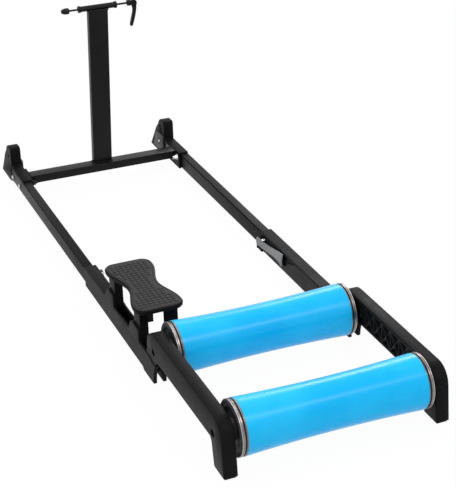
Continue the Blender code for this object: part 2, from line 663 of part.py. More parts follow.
def join(piece, *others):
    """Join a piece with each of the others into one solid."""
    for other in others:
        combine(piece, other, "UNION")
    return piece


# Side frames

def beam_outline():
    """Return the side view of the rear beam with its foot and its round front end."""
    fillet_y = REAR_FOOT_LENGTH + REAR_FOOT_LEAN + UNDERSIDE_FILLET
    fillet = arc((fillet_y, BEAM_UNDERSIDE - UNDERSIDE_FILLET), UNDERSIDE_FILLET, 180, 90, 3)
    ear = arc((MIDDLE_AXLE_Y, AXLE_HEIGHT), EAR_RADIUS, 0, 90, 7)
    bend_centre = (REAR_EDGE_LEAN + REAR_BEND_RADIUS, BEAM_TOP - REAR_BEND_RADIUS)
    bend = arc(bend_centre, REAR_BEND_RADIUS, 90, 176, 6)
    buried = SLEEVE_TOP - BEAM_SINK
    valley_drop = AXLE_HEIGHT - SLEEVE_TOP
    front_y = MIDDLE_AXLE_Y + EAR_RADIUS
    valley = [(front_y + VALLEY_RUN * along, SLEEVE_TOP + valley_drop * height)
              for along, height in VALLEY_CURVE]
    return ([(HEEL_CHAMFER, PAD_THICKNESS), (REAR_FOOT_LENGTH - TOE_CHAMFER, PAD_THICKNESS),
             (REAR_FOOT_LENGTH, PAD_THICKNESS + TOE_CHAMFER)]
            + fillet
            + [(NOTCH_Y - NOTCH_RAMP, BEAM_UNDERSIDE),
               (NOTCH_Y - NOTCH_SETBACK, BEAM_UNDERSIDE - NOTCH_DROP),
               (NOTCH_Y + NOTCH_SINK, buried), (VALLEY_Y, buried), (VALLEY_Y, SLEEVE_TOP - VALLEY_SINK)]
            + valley[::-1] + ear + bend + [(0.0, PAD_THICKNESS + HEEL_CHAMFER)])


def sleeve_outline(with_sockets):
    """Return the side view of the sleeve with the middle foot, and the step's sockets on one side."""
    recess = arc((MIDDLE_AXLE_Y, AXLE_HEIGHT), CHEEK_CLEARANCE_RADIUS, *CHEEK_ANGLES, 4)
    points = [(MIDDLE_FOOT_START_Y, 0.0), (MIDDLE_FOOT_END_Y, 0.0),
              (MIDDLE_FOOT_END_Y + MIDDLE_FOOT_TOE, SLEEVE_UNDERSIDE), (SLEEVE_FRONT_Y, SLEEVE_UNDERSIDE),
              (SLEEVE_FRONT_Y, SLEEVE_TOP)]
    if with_sockets:
        front_end = SOCKET_FRONT_Y + SOCKET_LENGTH
        rear_end = SOCKET_REAR_Y + SOCKET_LENGTH
        tab_start = SOCKET_FRONT_Y + SOCKET_CLEARANCE
        points += [(front_end + FRONT_TAB_RAMP, SLEEVE_TOP), (front_end + FRONT_TAB_CREST, TAB_TOP),
                   (tab_start, TAB_TOP), (tab_start, SLEEVE_TOP),
                   (rear_end + REAR_TAB_RAMP, SLEEVE_TOP),
                   (rear_end + REAR_TAB_SHOULDER, TAB_TOP - REAR_TAB_SHOULDER_DROP),
                   (rear_end + REAR_TAB_CREST, TAB_TOP), (SOCKET_REAR_Y, TAB_TOP),
                   (SOCKET_REAR_Y, SLEEVE_TOP)]
    cheeks = [(NOTCH_Y + along, SLEEVE_TOP - drop) for along, drop in CHEEK_REAR_EDGE]
    foot_back = (MIDDLE_FOOT_START_Y - MIDDLE_FOOT_BACK[0], MIDDLE_FOOT_BACK[1])
    return points + [(VALLEY_Y, SLEEVE_TOP)] + recess + cheeks + [foot_back]


def inset_triangle(corners, distance):
    """Return a triangle whose sides have moved in by a distance, towards its inscribed circle."""
    a, b, c = (Vector(corner) for corner in corners)
    sides = ((b - c).length, (c - a).length, (a - b).length)
    perimeter = sum(sides)
    centre = (a * sides[0] + b * sides[1] + c * sides[2]) / perimeter
    area = abs((b - a).cross(c - a)) / 2
    scale = 1 - distance * perimeter / (2 * area)
    return [tuple(centre + (corner - centre) * scale) for corner in (a, b, c)]


def lattice_cutter(side):
    """Return the triangular pockets that leave crossed ribs on the beam's open inner side."""
    low_z = BEAM_UNDERSIDE + LATTICE_MARGIN
    high_z = BEAM_TOP - LATTICE_MARGIN
    first_y = REAR_FOOT_LENGTH + LATTICE_REAR_MARGIN
    bay = (MIDDLE_AXLE_Y - LATTICE_FRONT_MARGIN - first_y) / LATTICE_BAYS
    pockets = []
    for index in range(LATTICE_BAYS):
        start = first_y + index * bay
        corners = rectangle((start, low_z), (start + bay, high_z))
        middle = (start + bay / 2, (low_z + high_z) / 2)
        for first, second in zip(corners, corners[1:] + corners[:1]):
            pockets.append(inset_triangle((first, second, middle), LATTICE_RIB / 2))
    return side_prism("lattice_pockets", side, pockets, FRAME_INNER - CUT_PAST,
                      FRAME_OUTER - LATTICE_WALL)


def stepped_bore(name, side, y, z, steps, segments):
    """Return a round cutter along X made of (radius, from, to) distances off the centre plane."""
    profile = []
    for radius, start, end in steps:
        profile += [(radius, side * start), (radius, side * end)]
    profile = [(0.0, side * steps[0][1])] + profile + [(0.0, side * steps[-1][2])]
    return turned(name, profile, (0.0, y, z), "X", segments, closed=False)


def axle_bore(side, y):
    """Return the cutter for an axle's seat, its screw and the screw head's counterbore."""
    seat_end = FRAME_INNER + AXLE_SEAT_DEPTH
    counterbore = FRAME_OUTER - AXLE_COUNTERBORE_DEPTH
    return stepped_bore("axle_bore", side, y, AXLE_HEIGHT, [
        (AXLE_RADIUS + SEAT_GAP, FRAME_INNER - CUT_PAST, seat_end),
        (AXLE_SCREW_RADIUS + SEAT_GAP, seat_end, counterbore),
        (AXLE_COUNTERBORE_RADIUS, counterbore, SLEEVE_OUTER + CUT_PAST)], SMALL_SEGMENTS)


def rail_section(grow):
    """Return the low and high corner of the rail's section, grown by a gap on every side."""
    half_width = RAIL_WIDTH / 2 + grow
    half_height = RAIL_HEIGHT / 2 + grow
    return ((RAIL_CENTRE_X - half_width, RAIL_CENTRE_Z - half_height),
            (RAIL_CENTRE_X + half_width, RAIL_CENTRE_Z + half_height))


def make_side_frame(name, side):
    """Build one moulded side frame: ribbed rear beam, two feet and the sleeve for the rail."""
    frame = round_edges(side_prism("side_frame_" + name, side, [beam_outline()], FRAME_INNER,
                                   FRAME_OUTER, NYLON), FRAME_EDGE_ROUND)
    has_sockets = side == LEFT
    sleeve = round_edges(side_prism("sleeve", side, [sleeve_outline(has_sockets)], SLEEVE_INNER,
                                    SLEEVE_OUTER), SLEEVE_EDGE_ROUND, 1)
    join(frame, sleeve)
    low, high = rail_section(SLIDE_GAP)
    cavity = side_box("rail_cavity", side, low[0], high[0], (CAVITY_REAR_Y, SLEEVE_FRONT_Y + CUT_PAST),
                      (low[1], high[1]))
    slot_middle = (SLEEVE_INNER + SLEEVE_OUTER) / 2
    foot_slot = side_box("foot_slot", side, slot_middle - MIDDLE_FOOT_SLOT / 2,
                         slot_middle + MIDDLE_FOOT_SLOT / 2,
                         (NOTCH_Y - BEAM_SINK, MIDDLE_FOOT_END_Y - MIDDLE_FOOT_WEB),
                         (-CUT_PAST, SLEEVE_TOP - MIDDLE_FOOT_ROOF))
    recess = side_prism("finger_recess", side, [recess_outline()], SLEEVE_INNER - CUT_PAST,
                        SLEEVE_INNER + RECESS_DEPTH)
    window = side_box("shoe_window", side, SLEEVE_INNER - CUT_PAST, low[0] + CUT_PAST,
                      *shoe_span(SEAT_GAP))
    cut(frame, lattice_cutter(side), cavity, foot_slot, recess, window,
        axle_bore(side, REAR_AXLE_Y), axle_bore(side, MIDDLE_AXLE_Y))
    if has_sockets:
        cut(frame, *socket_cutters(side, low[0]))
    return frame


def recess_outline():
    """Return the side view of the finger recess, which narrows towards the rear."""
    top = SLEEVE_TOP - RECESS_ROOF
    bottom = top - RECESS_HEIGHT
    start_y = RECESS_END_Y - RECESS_LENGTH
    ramp = [(start_y + RECESS_LENGTH * along, top - RECESS_HEIGHT * down) for along, down in RECESS_RAMP]
    return [(start_y, top)] + ramp + [(RECESS_END_Y, bottom), (RECESS_END_Y, top)]


def socket_cutters(side, inner):
    """Return the cutters that open the sleeve's top for the step's legs and lower its inner wall."""
    outer = SLEEVE_OUTER - SOCKET_OUTER_WALL
    start = VALLEY_Y + SOCKET_BED_SETBACK
    end = SOCKET_FRONT_Y + SOCKET_LENGTH
    deep = RAIL_CENTRE_Z
    high = TAB_TOP + CUT_PAST
    above = side_box("above_inner_wall", side, SLEEVE_INNER - CUT_PAST, outer, (start, end),
                     (SLEEVE_TOP, high))
    floors = side_box("socket_floors", side, inner, outer, (start, end), (SOCKET_FLOOR, high))
    rear_opening = side_box("rear_opening", side, inner, outer, (start, SOCKET_REAR_Y - SOCKET_END_WALL),
                            (deep, high))
    middle_opening = side_box("middle_opening", side, inner, outer,
                              (SOCKET_REAR_Y + SOCKET_LENGTH + SOCKET_END_WALL,
                               SOCKET_FRONT_Y - SOCKET_END_WALL),
                              (deep, high))
    return above, floors, rear_opening, middle_opening


def shoe_span(grow):
    """Return the clamp shoe's range along Y and along Z, grown by a gap."""
    half_length = SHOE_LENGTH / 2 + grow
    half_height = SHOE_HEIGHT / 2 + grow
    return ((LATCH_Y - half_length, LATCH_Y + half_length), (SHOE_Z - half_height, SHOE_Z + half_height))


def make_rear_foot_pad(name, side):
    """Build the rubber pad under a rear foot."""
    side_box("rear_foot_pad_" + name, side, FRAME_INNER + PAD_INSET, FRAME_OUTER - PAD_INSET,
             (PAD_INSET, REAR_FOOT_LENGTH - 2 * PAD_INSET), (0.0, PAD_THICKNESS - SEAT_GAP), RUBBER)


# Rollers

def roller_radius(x):
    """Return the sleeve's outer radius: a parabola, smallest in the middle."""
    share = (x / ROLLER_HALF_LENGTH) ** 2
    return ROLLER_MIDDLE_RADIUS + (ROLLER_END_RADIUS - ROLLER_MIDDLE_RADIUS) * share


def make_roller_tube(prefix, y, axis):
    """Build the hollow blue roller."""
    stations = [ROLLER_HALF_LENGTH * index / ROLLER_PROFILE_STEPS
                for index in range(-ROLLER_PROFILE_STEPS, ROLLER_PROFILE_STEPS + 1)]
    bore_end = ROLLER_END_RADIUS - 2 * ROLLER_WALL
    bore_middle = ROLLER_MIDDLE_RADIUS - ROLLER_WALL
    bore = min(bore_end, bore_middle)
    profile = [(roller_radius(x), x) for x in stations]
    profile += [(bore, ROLLER_HALF_LENGTH), (bore, -ROLLER_HALF_LENGTH)]
    tube = turned(prefix + "_roller_tube", profile, (0.0, y, AXLE_HEIGHT), "X", ROLLER_SEGMENTS, BLUE)
    attach(tube, axis)
    return bore


def cap_profile(side, bore):
    """Return an end cap's profile, from its spigot in the tube out to its hub."""
    ring_end = CAP_GROOVE_WIDTH + CAP_RING_WIDTH
    face = ring_end + CAP_STEP_WIDTH
    hub_face = face + CAP_HUB_PROUD
    floor = face - CAP_DISH_DEPTH
    spigot = bore - SEAT_GAP
    pocket = BEARING_OUTER_RADIUS + SEAT_GAP
    hub = BEARING_OUTER_RADIUS + CAP_HUB_WALL
    shoulder = hub_face - BEARING_WIDTH - SEAT_GAP
    points = [(pocket, hub_face), (hub, hub_face), (hub, floor),
              (CAP_STEP_RADIUS - CAP_RIM, floor), (CAP_STEP_RADIUS - CAP_RIM, face),
              (CAP_STEP_RADIUS, face), (CAP_STEP_RADIUS, ring_end), (CAP_RING_RADIUS, ring_end),
              (CAP_RING_RADIUS, CAP_GROOVE_WIDTH), (CAP_GROOVE_RADIUS, CAP_GROOVE_WIDTH),
              (CAP_GROOVE_RADIUS, SEAT_GAP), (spigot, SEAT_GAP), (spigot, -CAP_SPIGOT),
              (spigot - CAP_SPIGOT_WALL, -CAP_SPIGOT), (spigot - CAP_SPIGOT_WALL, CAP_WEB_INSIDE),
              (pocket - BEARING_SHOULDER, CAP_WEB_INSIDE), (pocket - BEARING_SHOULDER, shoulder),
              (pocket, shoulder)]
    return [(radius, side * (ROLLER_HALF_LENGTH + height)) for radius, height in points]


def make_roller(prefix, y):
    """Build one roller with its caps and bearings, its fixed axle, spacers and screws."""
    centre = (0.0, y, AXLE_HEIGHT)
    axis = body_axis(prefix + "_roller_axis", centre)
    bore = make_roller_tube(prefix, y, axis)
    for name, side in SIDES:
        attach(turned(prefix + "_roller_cap_" + name, cap_profile(side, bore), centre, "X",
                      ROLLER_SEGMENTS, CAP_METAL), axis)
        attach(turned(prefix + "_bearing_" + name, bearing_profile(side), centre, "X",
                      BEARING_SEGMENTS, STEEL), axis)
    make_axle(prefix, centre)


def bearing_profile(side):
    """Return a sealed ball bearing's profile, with its outer shield set back between the two rings."""
    inner_face = HUB_FACE_X - BEARING_WIDTH
    bore = AXLE_RADIUS + SEAT_GAP
    inner_ring = bore + BEARING_RING
    outer_ring = BEARING_OUTER_RADIUS - BEARING_RING
    shield = HUB_FACE_X - SHIELD_DEPTH
    points = [(bore, inner_face), (BEARING_OUTER_RADIUS, inner_face), (BEARING_OUTER_RADIUS, HUB_FACE_X),
              (outer_ring, HUB_FACE_X), (outer_ring, shield), (inner_ring, shield),
              (inner_ring, HUB_FACE_X), (bore, HUB_FACE_X)]
    return [(radius, side * height) for radius, height in points]


def make_axle(prefix, centre):
    """Build a fixed axle with tapped ends and its two spacers."""
    end = FRAME_INNER + AXLE_SEAT_DEPTH - SEAT_GAP
    bore_start = end - AXLE_END_BORE_DEPTH
    bore = AXLE_SCREW_RADIUS + SEAT_GAP
    profile = [(0.0, bore_start), (bore, bore_start), (bore, end), (AXLE_RADIUS, end),
               (AXLE_RADIUS, -end), (bore, -end), (bore, -bore_start), (0.0, -bore_start)]
    turned(prefix + "_axle", profile, centre, "X", SMALL_SEGMENTS, STEEL, closed=False)
    for name, side in SIDES:
        low, high = sorted((side * (HUB_FACE_X + SEAT_GAP), side * (FRAME_INNER - SEAT_GAP)))
        spacer_bore = AXLE_RADIUS + SEAT_GAP
        ring = ring_profile(spacer_bore, spacer_bore + SPACER_WALL, low, high)
        turned(f"{prefix}_axle_spacer_{name}", ring, centre, "X", SMALL_SEGMENTS, STEEL)
        make_axle_screw(f"{prefix}_axle_screw_{name}", side, centre)


def make_axle_screw(name, side, centre):
    """Build a screw that holds one end of an axle, with its head sunk in the side frame."""
    head_start = FRAME_OUTER - AXLE_COUNTERBORE_DEPTH + SEAT_GAP
    head_end = head_start + AXLE_SCREW_HEAD_DEPTH
    tip = FRAME_INNER + AXLE_SEAT_DEPTH - AXLE_SCREW_REACH
    socket_floor = head_end - SCREW_SOCKET_DEPTH
    profile = [(0.0, tip), (AXLE_SCREW_RADIUS, tip), (AXLE_SCREW_RADIUS, head_start),
               (AXLE_SCREW_HEAD_RADIUS, head_start), (AXLE_SCREW_HEAD_RADIUS, head_end),
               (SCREW_SOCKET_RADIUS, head_end), (SCREW_SOCKET_RADIUS, socket_floor), (0.0, socket_floor)]
    points = [(radius, side * height) for radius, height in profile]
    turned(name, points, centre, "X", SCREW_SEGMENTS, STEEL, closed=False)


# Cam latches

def latch_bracket_outline():
    """Return the bracket's C-shaped section in XZ, open towards the centre plane."""
    back = SLEEVE_INNER - SEAT_GAP
    plate = back - LATCH_BRACKET_PLATE
    tip = SLEEVE_INNER - LATCH_BRACKET_REACH
    low_ear = LATCH_BRACKET_BOTTOM + LATCH_EAR
    high_ear = LATCH_BRACKET_TOP - LATCH_EAR
    return [(back, LATCH_BRACKET_BOTTOM), (back, LATCH_BRACKET_TOP), (tip, LATCH_BRACKET_TOP),
            (tip, high_ear), (plate, high_ear), (plate, low_ear), (tip, low_ear),
            (tip, LATCH_BRACKET_BOTTOM)]


def make_latch_bracket(name, side):
    """Build the bracket that carries the cam lever's pin on the sleeve's inner wall."""
    bracket = prism("latch_bracket_" + name, [mirrored(latch_bracket_outline(), side)],
                    LATCH_Y - LATCH_BRACKET_LENGTH / 2, LATCH_Y + LATCH_BRACKET_LENGTH / 2, "Y", NYLON)
    pin_hole = turned("pin_hole",
                      disc_profile(LATCH_PIN_RADIUS + SEAT_GAP, LATCH_BRACKET_BOTTOM - CUT_PAST,
                                   LATCH_BRACKET_TOP + CUT_PAST),
                      (side * LATCH_AXIS_X, LATCH_Y, 0.0), "Z", SCREW_SEGMENTS, closed=False)
    window = side_box("bracket_window", side, SLEEVE_INNER - LATCH_BRACKET_PLATE - CUT_PAST,
                      SLEEVE_INNER + CUT_PAST, *shoe_span(SEAT_GAP))
    cut(bracket, pin_hole, window)


def latch_side_outline():
    """Return the lever's outline seen from the side: a slim waist and a broad flared end."""
    front = LATCH_Y + LATCH_BARREL_RADIUS
    neck = [(LATCH_Y - LATCH_NECK_TOP[0], LATCH_BARREL_TOP - LATCH_NECK_TOP[1]),
            (LATCH_Y - LATCH_WAIST_TOP[0], SHOE_Z + LATCH_WAIST_TOP[1])]
    end = [(LATCH_REAR_Y + ahead, SHOE_Z + above) for ahead, above in LATCH_END]
    belly = [(LATCH_Y - behind, SHOE_Z - below) for behind, below in LATCH_BELLY]
    return [(front, LATCH_BARREL_BOTTOM), (front, LATCH_BARREL_TOP)] + neck + end + belly


def latch_plan_outline(side):
    """Return the lever's outline seen from above: it leaves the barrel and flares inwards."""
    neck_y = LATCH_Y - LATCH_NECK
    blade_end_y = LATCH_REAR_Y - 2 * CUT_PAST
    centres = [(LATCH_AXIS_X, LATCH_Y),
               (LATCH_AXIS_X + LATCH_NECK_OFFSET, LATCH_Y - LATCH_NECK_START),
               (LATCH_BLADE_X, neck_y)]
    for index in range(1, LATCH_BLADE_STEPS + 1):
        share = index / LATCH_BLADE_STEPS
        centres.append((LATCH_BLADE_X - LATCH_BLADE_FLARE * share ** 2,
                        neck_y + (blade_end_y - neck_y) * share))
    half = LATCH_BLADE_THICKNESS / 2
    outer = [(x + half, y) for x, y in centres]
    inner = [(x - half, y) for x, y in centres]
    return mirrored(outer + inner[::-1], side)


def make_latch(name, side):
    """Build one cam lever on its own axis."""
    axis = body_axis("latch_axis_" + name, (side * LATCH_AXIS_X, LATCH_Y, SHOE_Z))
    heights = [height for _, height in latch_side_outline()]
    bottom = min(heights) - CUT_PAST
    top = max(heights) + CUT_PAST
    lever = prism("latch_lever_" + name, [latch_plan_outline(side)], bottom, top, "Z", GREY_PLASTIC)
    shape = side_prism("lever_side_view", side, [latch_side_outline()],
                       SLEEVE_INNER - LATCH_BRACKET_REACH - LATCH_BARREL_RADIUS, SLEEVE_INNER)
    centre = (side * LATCH_AXIS_X, LATCH_Y, 0.0)
    barrel = turned("lever_barrel", disc_profile(LATCH_BARREL_RADIUS, LATCH_BARREL_BOTTOM, LATCH_BARREL_TOP),
                    centre, "Z", SMALL_SEGMENTS, closed=False)
    hole = turned("lever_hole", disc_profile(LATCH_PIN_RADIUS + SEAT_GAP, bottom, top), centre, "Z",
                  SCREW_SEGMENTS, closed=False)
    combine(lever, shape, "INTERSECT")
    join(lever, barrel)
    cut(lever, hole)
    attach(lever, axis)


def make_latch_hardware(name, side):
    """Build a latch's pin, the clamp shoe that presses on the rail, and the adjuster's bright end."""
    turned("latch_pin_" + name,
           disc_profile(LATCH_PIN_RADIUS, LATCH_BRACKET_BOTTOM, LATCH_BRACKET_TOP + LATCH_PIN_PROUD),
           (side * LATCH_AXIS_X, LATCH_Y, 0.0), "Z", SCREW_SEGMENTS, STEEL, closed=False)
    y_range, z_range = shoe_span(0.0)
    rail_face = RAIL_CENTRE_X - RAIL_WIDTH / 2
    side_box("clamp_shoe_" + name, side, LATCH_AXIS_X + LATCH_BARREL_RADIUS + SEAT_GAP,
             rail_face - SEAT_GAP, y_range, z_range, NYLON)
    stud_end = SLEEVE_INNER - SEAT_GAP
    points = [(radius, side * height) for radius, height in
              disc_profile(ADJUSTER_RADIUS, stud_end - ADJUSTER_LENGTH, stud_end)]
    turned("latch_adjuster_" + name, points, (0.0, ADJUSTER_Y, ADJUSTER_Z), "X", SCREW_SEGMENTS, STEEL,
           closed=False)


# Front frame

def rail_profile(side):
    """Return a rail's hollow section in XZ, with more wall at the top, where the grooves are."""
    (x_low, z_low), (x_high, z_high) = rail_section(0.0)
    roof = z_high - RAIL_GROOVE_DROP - RAIL_GROOVE - RAIL_GROOVE_COVER
    outer = rectangle((x_low, z_low), (x_high, z_high))
    hollow = rectangle((x_low + RAIL_WALL, z_low + RAIL_WALL), (x_high - RAIL_WALL, roof))
    return [mirrored(outer, side), mirrored(hollow, side)]


def rail_grooves(side):
    """Return the cutters for the fine groove near the top of each side face of a rail."""
    (x_low, _), (x_high, z_high) = rail_section(0.0)
    top = z_high - RAIL_GROOVE_DROP
    y_range = (RAIL_REAR_Y - CUT_PAST, RAIL_FRONT_Y + CUT_PAST)
    z_range = (top - RAIL_GROOVE, top)
    return (side_box("inner_groove", side, x_low - CUT_PAST, x_low + RAIL_GROOVE, y_range, z_range),
            side_box("outer_groove", side, x_high - RAIL_GROOVE, x_high + CUT_PAST, y_range, z_range))


def bolt_holes(side, inner, outer, radius):
    """Return the cutters for the two bolts that hold a rail in its front foot."""
    return [stepped_bore("bolt_hole", side, y, RAIL_BOLT_Z, [(radius, inner, outer)], SCREW_SEGMENTS)
            for y in RAIL_BOLT_YS]


def make_rails(axis):
    """Build the two telescoping rails and the glides in their rear ends."""
    (x_low, z_low), (x_high, z_high) = rail_section(0.0)
    for name, side in SIDES:
        rail = prism("rail_" + name, rail_profile(side), RAIL_REAR_Y, RAIL_FRONT_Y, "Y", ALUMINIUM)
        cut(rail, *rail_grooves(side),
            *bolt_holes(side, x_low - CUT_PAST, x_high + CUT_PAST, RAIL_BOLT_RADIUS + SEAT_GAP))
        attach(rail, axis)
        glide = side_box("rail_glide_" + name, side, x_low, x_high,
                         (RAIL_REAR_Y - GLIDE_PLATE, RAIL_REAR_Y - SEAT_GAP), (z_low, z_high), NYLON)
        inset = RAIL_WALL + SEAT_GAP
        spigot = side_box("glide_spigot", side, x_low + inset, x_high - inset,
                          (RAIL_REAR_Y - GLIDE_PLATE / 2, RAIL_REAR_Y + GLIDE_SPIGOT),
                          (z_low + inset, z_high - RAIL_GROOVE_DROP - RAIL_GROOVE - RAIL_GROOVE_COVER
                           - SEAT_GAP))
        attach(join(glide, spigot), axis)


def lug_outline():
    """Return the side view of a front foot with its ear and the sleeve behind it."""
    ear_centre = (FRONT_SEAT_Y - LUG_EAR_SETBACK, LUG_EAR_TOP - LUG_EAR_RADIUS)
    ear = arc(ear_centre, LUG_EAR_RADIUS, LUG_EAR_FRONT_ANGLE, 90, 4)
    corner = arc((LUG_EAR_REAR_Y + LUG_EAR_CORNER, LUG_EAR_TOP - LUG_EAR_CORNER), LUG_EAR_CORNER,
                 90, 180, 2)
    slope = [(LUG_FOOT_END_Y - behind, above) for behind, above in LUG_SLOPE]
    return ([(LUG_FOOT_START_Y, PAD_THICKNESS), (LUG_FOOT_END_Y - LUG_TIP_CHAMFER, PAD_THICKNESS),
             (LUG_FOOT_END_Y, PAD_THICKNESS + LUG_TIP_CHAMFER), (LUG_FOOT_END_Y, PAD_THICKNESS + LUG_LIP)]
            + slope + ear + corner
            + [(LUG_EAR_REAR_Y, LUG_SLEEVE_TOP), (LUG_SLEEVE_REAR_Y, LUG_SLEEVE_TOP),
               (LUG_SLEEVE_REAR_Y, LUG_SLEEVE_BOTTOM), (LUG_FOOT_START_Y - LUG_HEEL, LUG_SLEEVE_BOTTOM)])


def make_front_foot(name, side, axis):
    """Build one front foot, which wraps the rail's top and inner face and seats a third axle."""
    lug = round_edges(side_prism("front_foot_" + name, side, [lug_outline()], FRAME_INNER, FRAME_OUTER,
                                 NYLON), LUG_EDGE_ROUND, 1)
    low, high = rail_section(SEAT_GAP)
    bed = side_box("rail_bed", side, low[0], FRAME_OUTER + CUT_PAST,
                   (LUG_SLEEVE_REAR_Y - CUT_PAST, RAIL_FRONT_Y + SEAT_GAP), (-CUT_PAST, high[1]))
    pocket_ring = ring_profile(SEAT_BOSS_RADIUS, SEAT_POCKET_RADIUS,
                               *sorted((side * (FRAME_INNER - CUT_PAST),
                                        side * (FRAME_INNER + SEAT_POCKET_DEPTH))))
    pocket = turned("seat_pocket", pocket_ring, (0.0, FRONT_SEAT_Y, FRONT_SEAT_Z), "X", SMALL_SEGMENTS)
    seat = stepped_bore("seat_bore", side, FRONT_SEAT_Y, FRONT_SEAT_Z, [
        (SEAT_BORE_RADIUS, FRAME_INNER - CUT_PAST, FRAME_OUTER - AXLE_COUNTERBORE_DEPTH),
        (SEAT_COUNTERBORE_RADIUS, FRAME_OUTER - AXLE_COUNTERBORE_DEPTH, FRAME_OUTER + CUT_PAST)],
        SMALL_SEGMENTS)
    holes = bolt_holes(side, FRAME_INNER - CUT_PAST, low[0] + CUT_PAST, RAIL_BOLT_RADIUS + SEAT_GAP)
    cut(lug, bed, pocket, seat, *holes)
    attach(lug, axis)


def plate_outline():
    """Return the outline of the plate on the inner side of a front foot."""
    rear = LUG_EAR_REAR_Y + PLATE_INSET
    top = PLATE_BOTTOM + PLATE_HEIGHT
    return [(rear, PLATE_BOTTOM), (rear + PLATE_BASE_LENGTH, PLATE_BOTTOM),
            (rear + PLATE_SHOULDER_LENGTH, top - PLATE_SHOULDER_DROP),
            (rear + PLATE_TOP_LENGTH, top), (rear, top)]


def make_foot_plate(name, side, axis):
    """Build the grey plate on the inner side of a front foot, with its raised boss and bolt end."""
    face = FRAME_INNER - SEAT_GAP
    plate = side_prism("foot_plate_" + name, side, [plate_outline()], face - PLATE_THICKNESS, face,
                       GREY_PLATE)
    boss_end = face - PLATE_THICKNESS - PLATE_BOSS_PROUD
    bolt_end = boss_end - PLATE_BOLT_PROUD
    boss = [(radius, side * height) for radius, height in
            [(0.0, face - PLATE_THICKNESS / 2), (PLATE_BOSS_RADIUS, face - PLATE_THICKNESS / 2),
             (PLATE_BOSS_RADIUS, boss_end), (PLATE_BOLT_RADIUS, boss_end),
             (PLATE_BOLT_RADIUS, bolt_end), (0.0, bolt_end)]]
    join(plate, turned("plate_boss", boss, (0.0, PLATE_BOLT_Y, PLATE_BOLT_Z), "X", SMALL_SEGMENTS,
                       closed=False))
    attach(plate, axis)


def make_front_foot_pad(name, side, axis):
    """Build the rubber pad under a front foot."""
    attach(side_box("front_foot_pad_" + name, side, FRAME_INNER + PAD_INSET, FRAME_OUTER - PAD_INSET,
                    (LUG_FOOT_START_Y + PAD_INSET, LUG_FOOT_END_Y - 2 * PAD_INSET),
                    (0.0, PAD_THICKNESS - SEAT_GAP), RUBBER), axis)


def make_rail_bolts(name, side, axis):
    """Build the two bolts that hold a rail in its front foot, and the lock nut behind them."""
    start = FRAME_INNER + SEAT_GAP
    head = rail_section(0.0)[1][0] + SEAT_GAP
    profile = [(0.0, start), (RAIL_BOLT_RADIUS, start), (RAIL_BOLT_RADIUS, head),
               (RAIL_BOLT_HEAD_RADIUS, head), (RAIL_BOLT_CROWN_RADIUS, head + RAIL_BOLT_HEAD),
               (0.0, head + RAIL_BOLT_HEAD)]
    points = [(radius, side * height) for radius, height in profile]
    for place, y in zip(("rear", "front"), RAIL_BOLT_YS):
        attach(turned(f"rail_bolt_{place}_{name}", points, (0.0, y, RAIL_BOLT_Z), "X", SCREW_SEGMENTS,
                      STEEL, closed=False), axis)
    face = FRAME_INNER - SEAT_GAP
    reach = 0.0
    stack = [(0.0, face)]
    for radius, length in LOCK_NUT_STEPS:
        stack += [(radius, face - reach), (radius, face - reach - length)]
        reach += length
    stack.append((0.0, face - reach))
    points = [(radius, side * height) for radius, height in stack]
    attach(turned("lock_nut_" + name, points, (0.0, LOCK_NUT_Y, LOCK_NUT_Z), "X", SCREW_SEGMENTS,
                  STEEL, closed=False), axis)


def make_crossbar(axis):
    """Build the hollow crossbar with the flanges welded to its ends."""
    centre = (CROSSBAR_REAR_Y + CROSSBAR_DEPTH / 2, CROSSBAR_TOP - CROSSBAR_HEIGHT / 2)
    outer = rounded_rectangle(centre, CROSSBAR_DEPTH, CROSSBAR_HEIGHT, CROSSBAR_CORNER)
    hollow = rounded_rectangle(centre, CROSSBAR_DEPTH - 2 * CROSSBAR_WALL,
                               CROSSBAR_HEIGHT - 2 * CROSSBAR_WALL, CROSSBAR_CORNER / 3, 1)
    flange_outer = FRAME_INNER - SEAT_GAP
    flange_inner = flange_outer - FLANGE_THICKNESS
    half = flange_outer - FLANGE_THICKNESS / 2
    bar = prism("crossbar", [outer, hollow], -half, half, "X", BLACK_PAINT)
    front = CROSSBAR_REAR_Y + CROSSBAR_DEPTH + FLANGE_REACH
    bottom = CROSSBAR_TOP - CROSSBAR_HEIGHT - FLANGE_DROP
    flange = [(CROSSBAR_REAR_Y, bottom), (front - FLANGE_CHAMFER, bottom),
              (front, bottom + FLANGE_CHAMFER), (front, CROSSBAR_TOP - FLANGE_CHAMFER),
              (front - FLANGE_CHAMFER, CROSSBAR_TOP), (CROSSBAR_REAR_Y, CROSSBAR_TOP)]
    for _, side in SIDES:
        plate = side_prism("flange", side, [flange], flange_inner, flange_outer)
        opening = rounded_rectangle(centre, CROSSBAR_DEPTH - 2 * CROSSBAR_WALL,
                                    CROSSBAR_HEIGHT - 2 * CROSSBAR_WALL, CROSSBAR_CORNER / 3, 1)
        cut(plate, side_prism("flange_opening", side, [opening], flange_inner - CUT_PAST,
                              flange_outer + CUT_PAST))
        join(bar, plate)
    attach(bar, axis)


def post_frame():
    """Return the place of the leaning post: its local Z runs up its own axis from the base."""
    base = Vector((0.0, POST_BASE_Y, CROSSBAR_TOP))
    top = Vector((0.0, FORK_TUBE_Y, FORK_TUBE_Z))
    lean = math.atan2(base.y - top.y, top.z - base.z)
    return Matrix.Translation(base) @ Matrix.Rotation(lean, 4, "X"), (top - base).length, lean


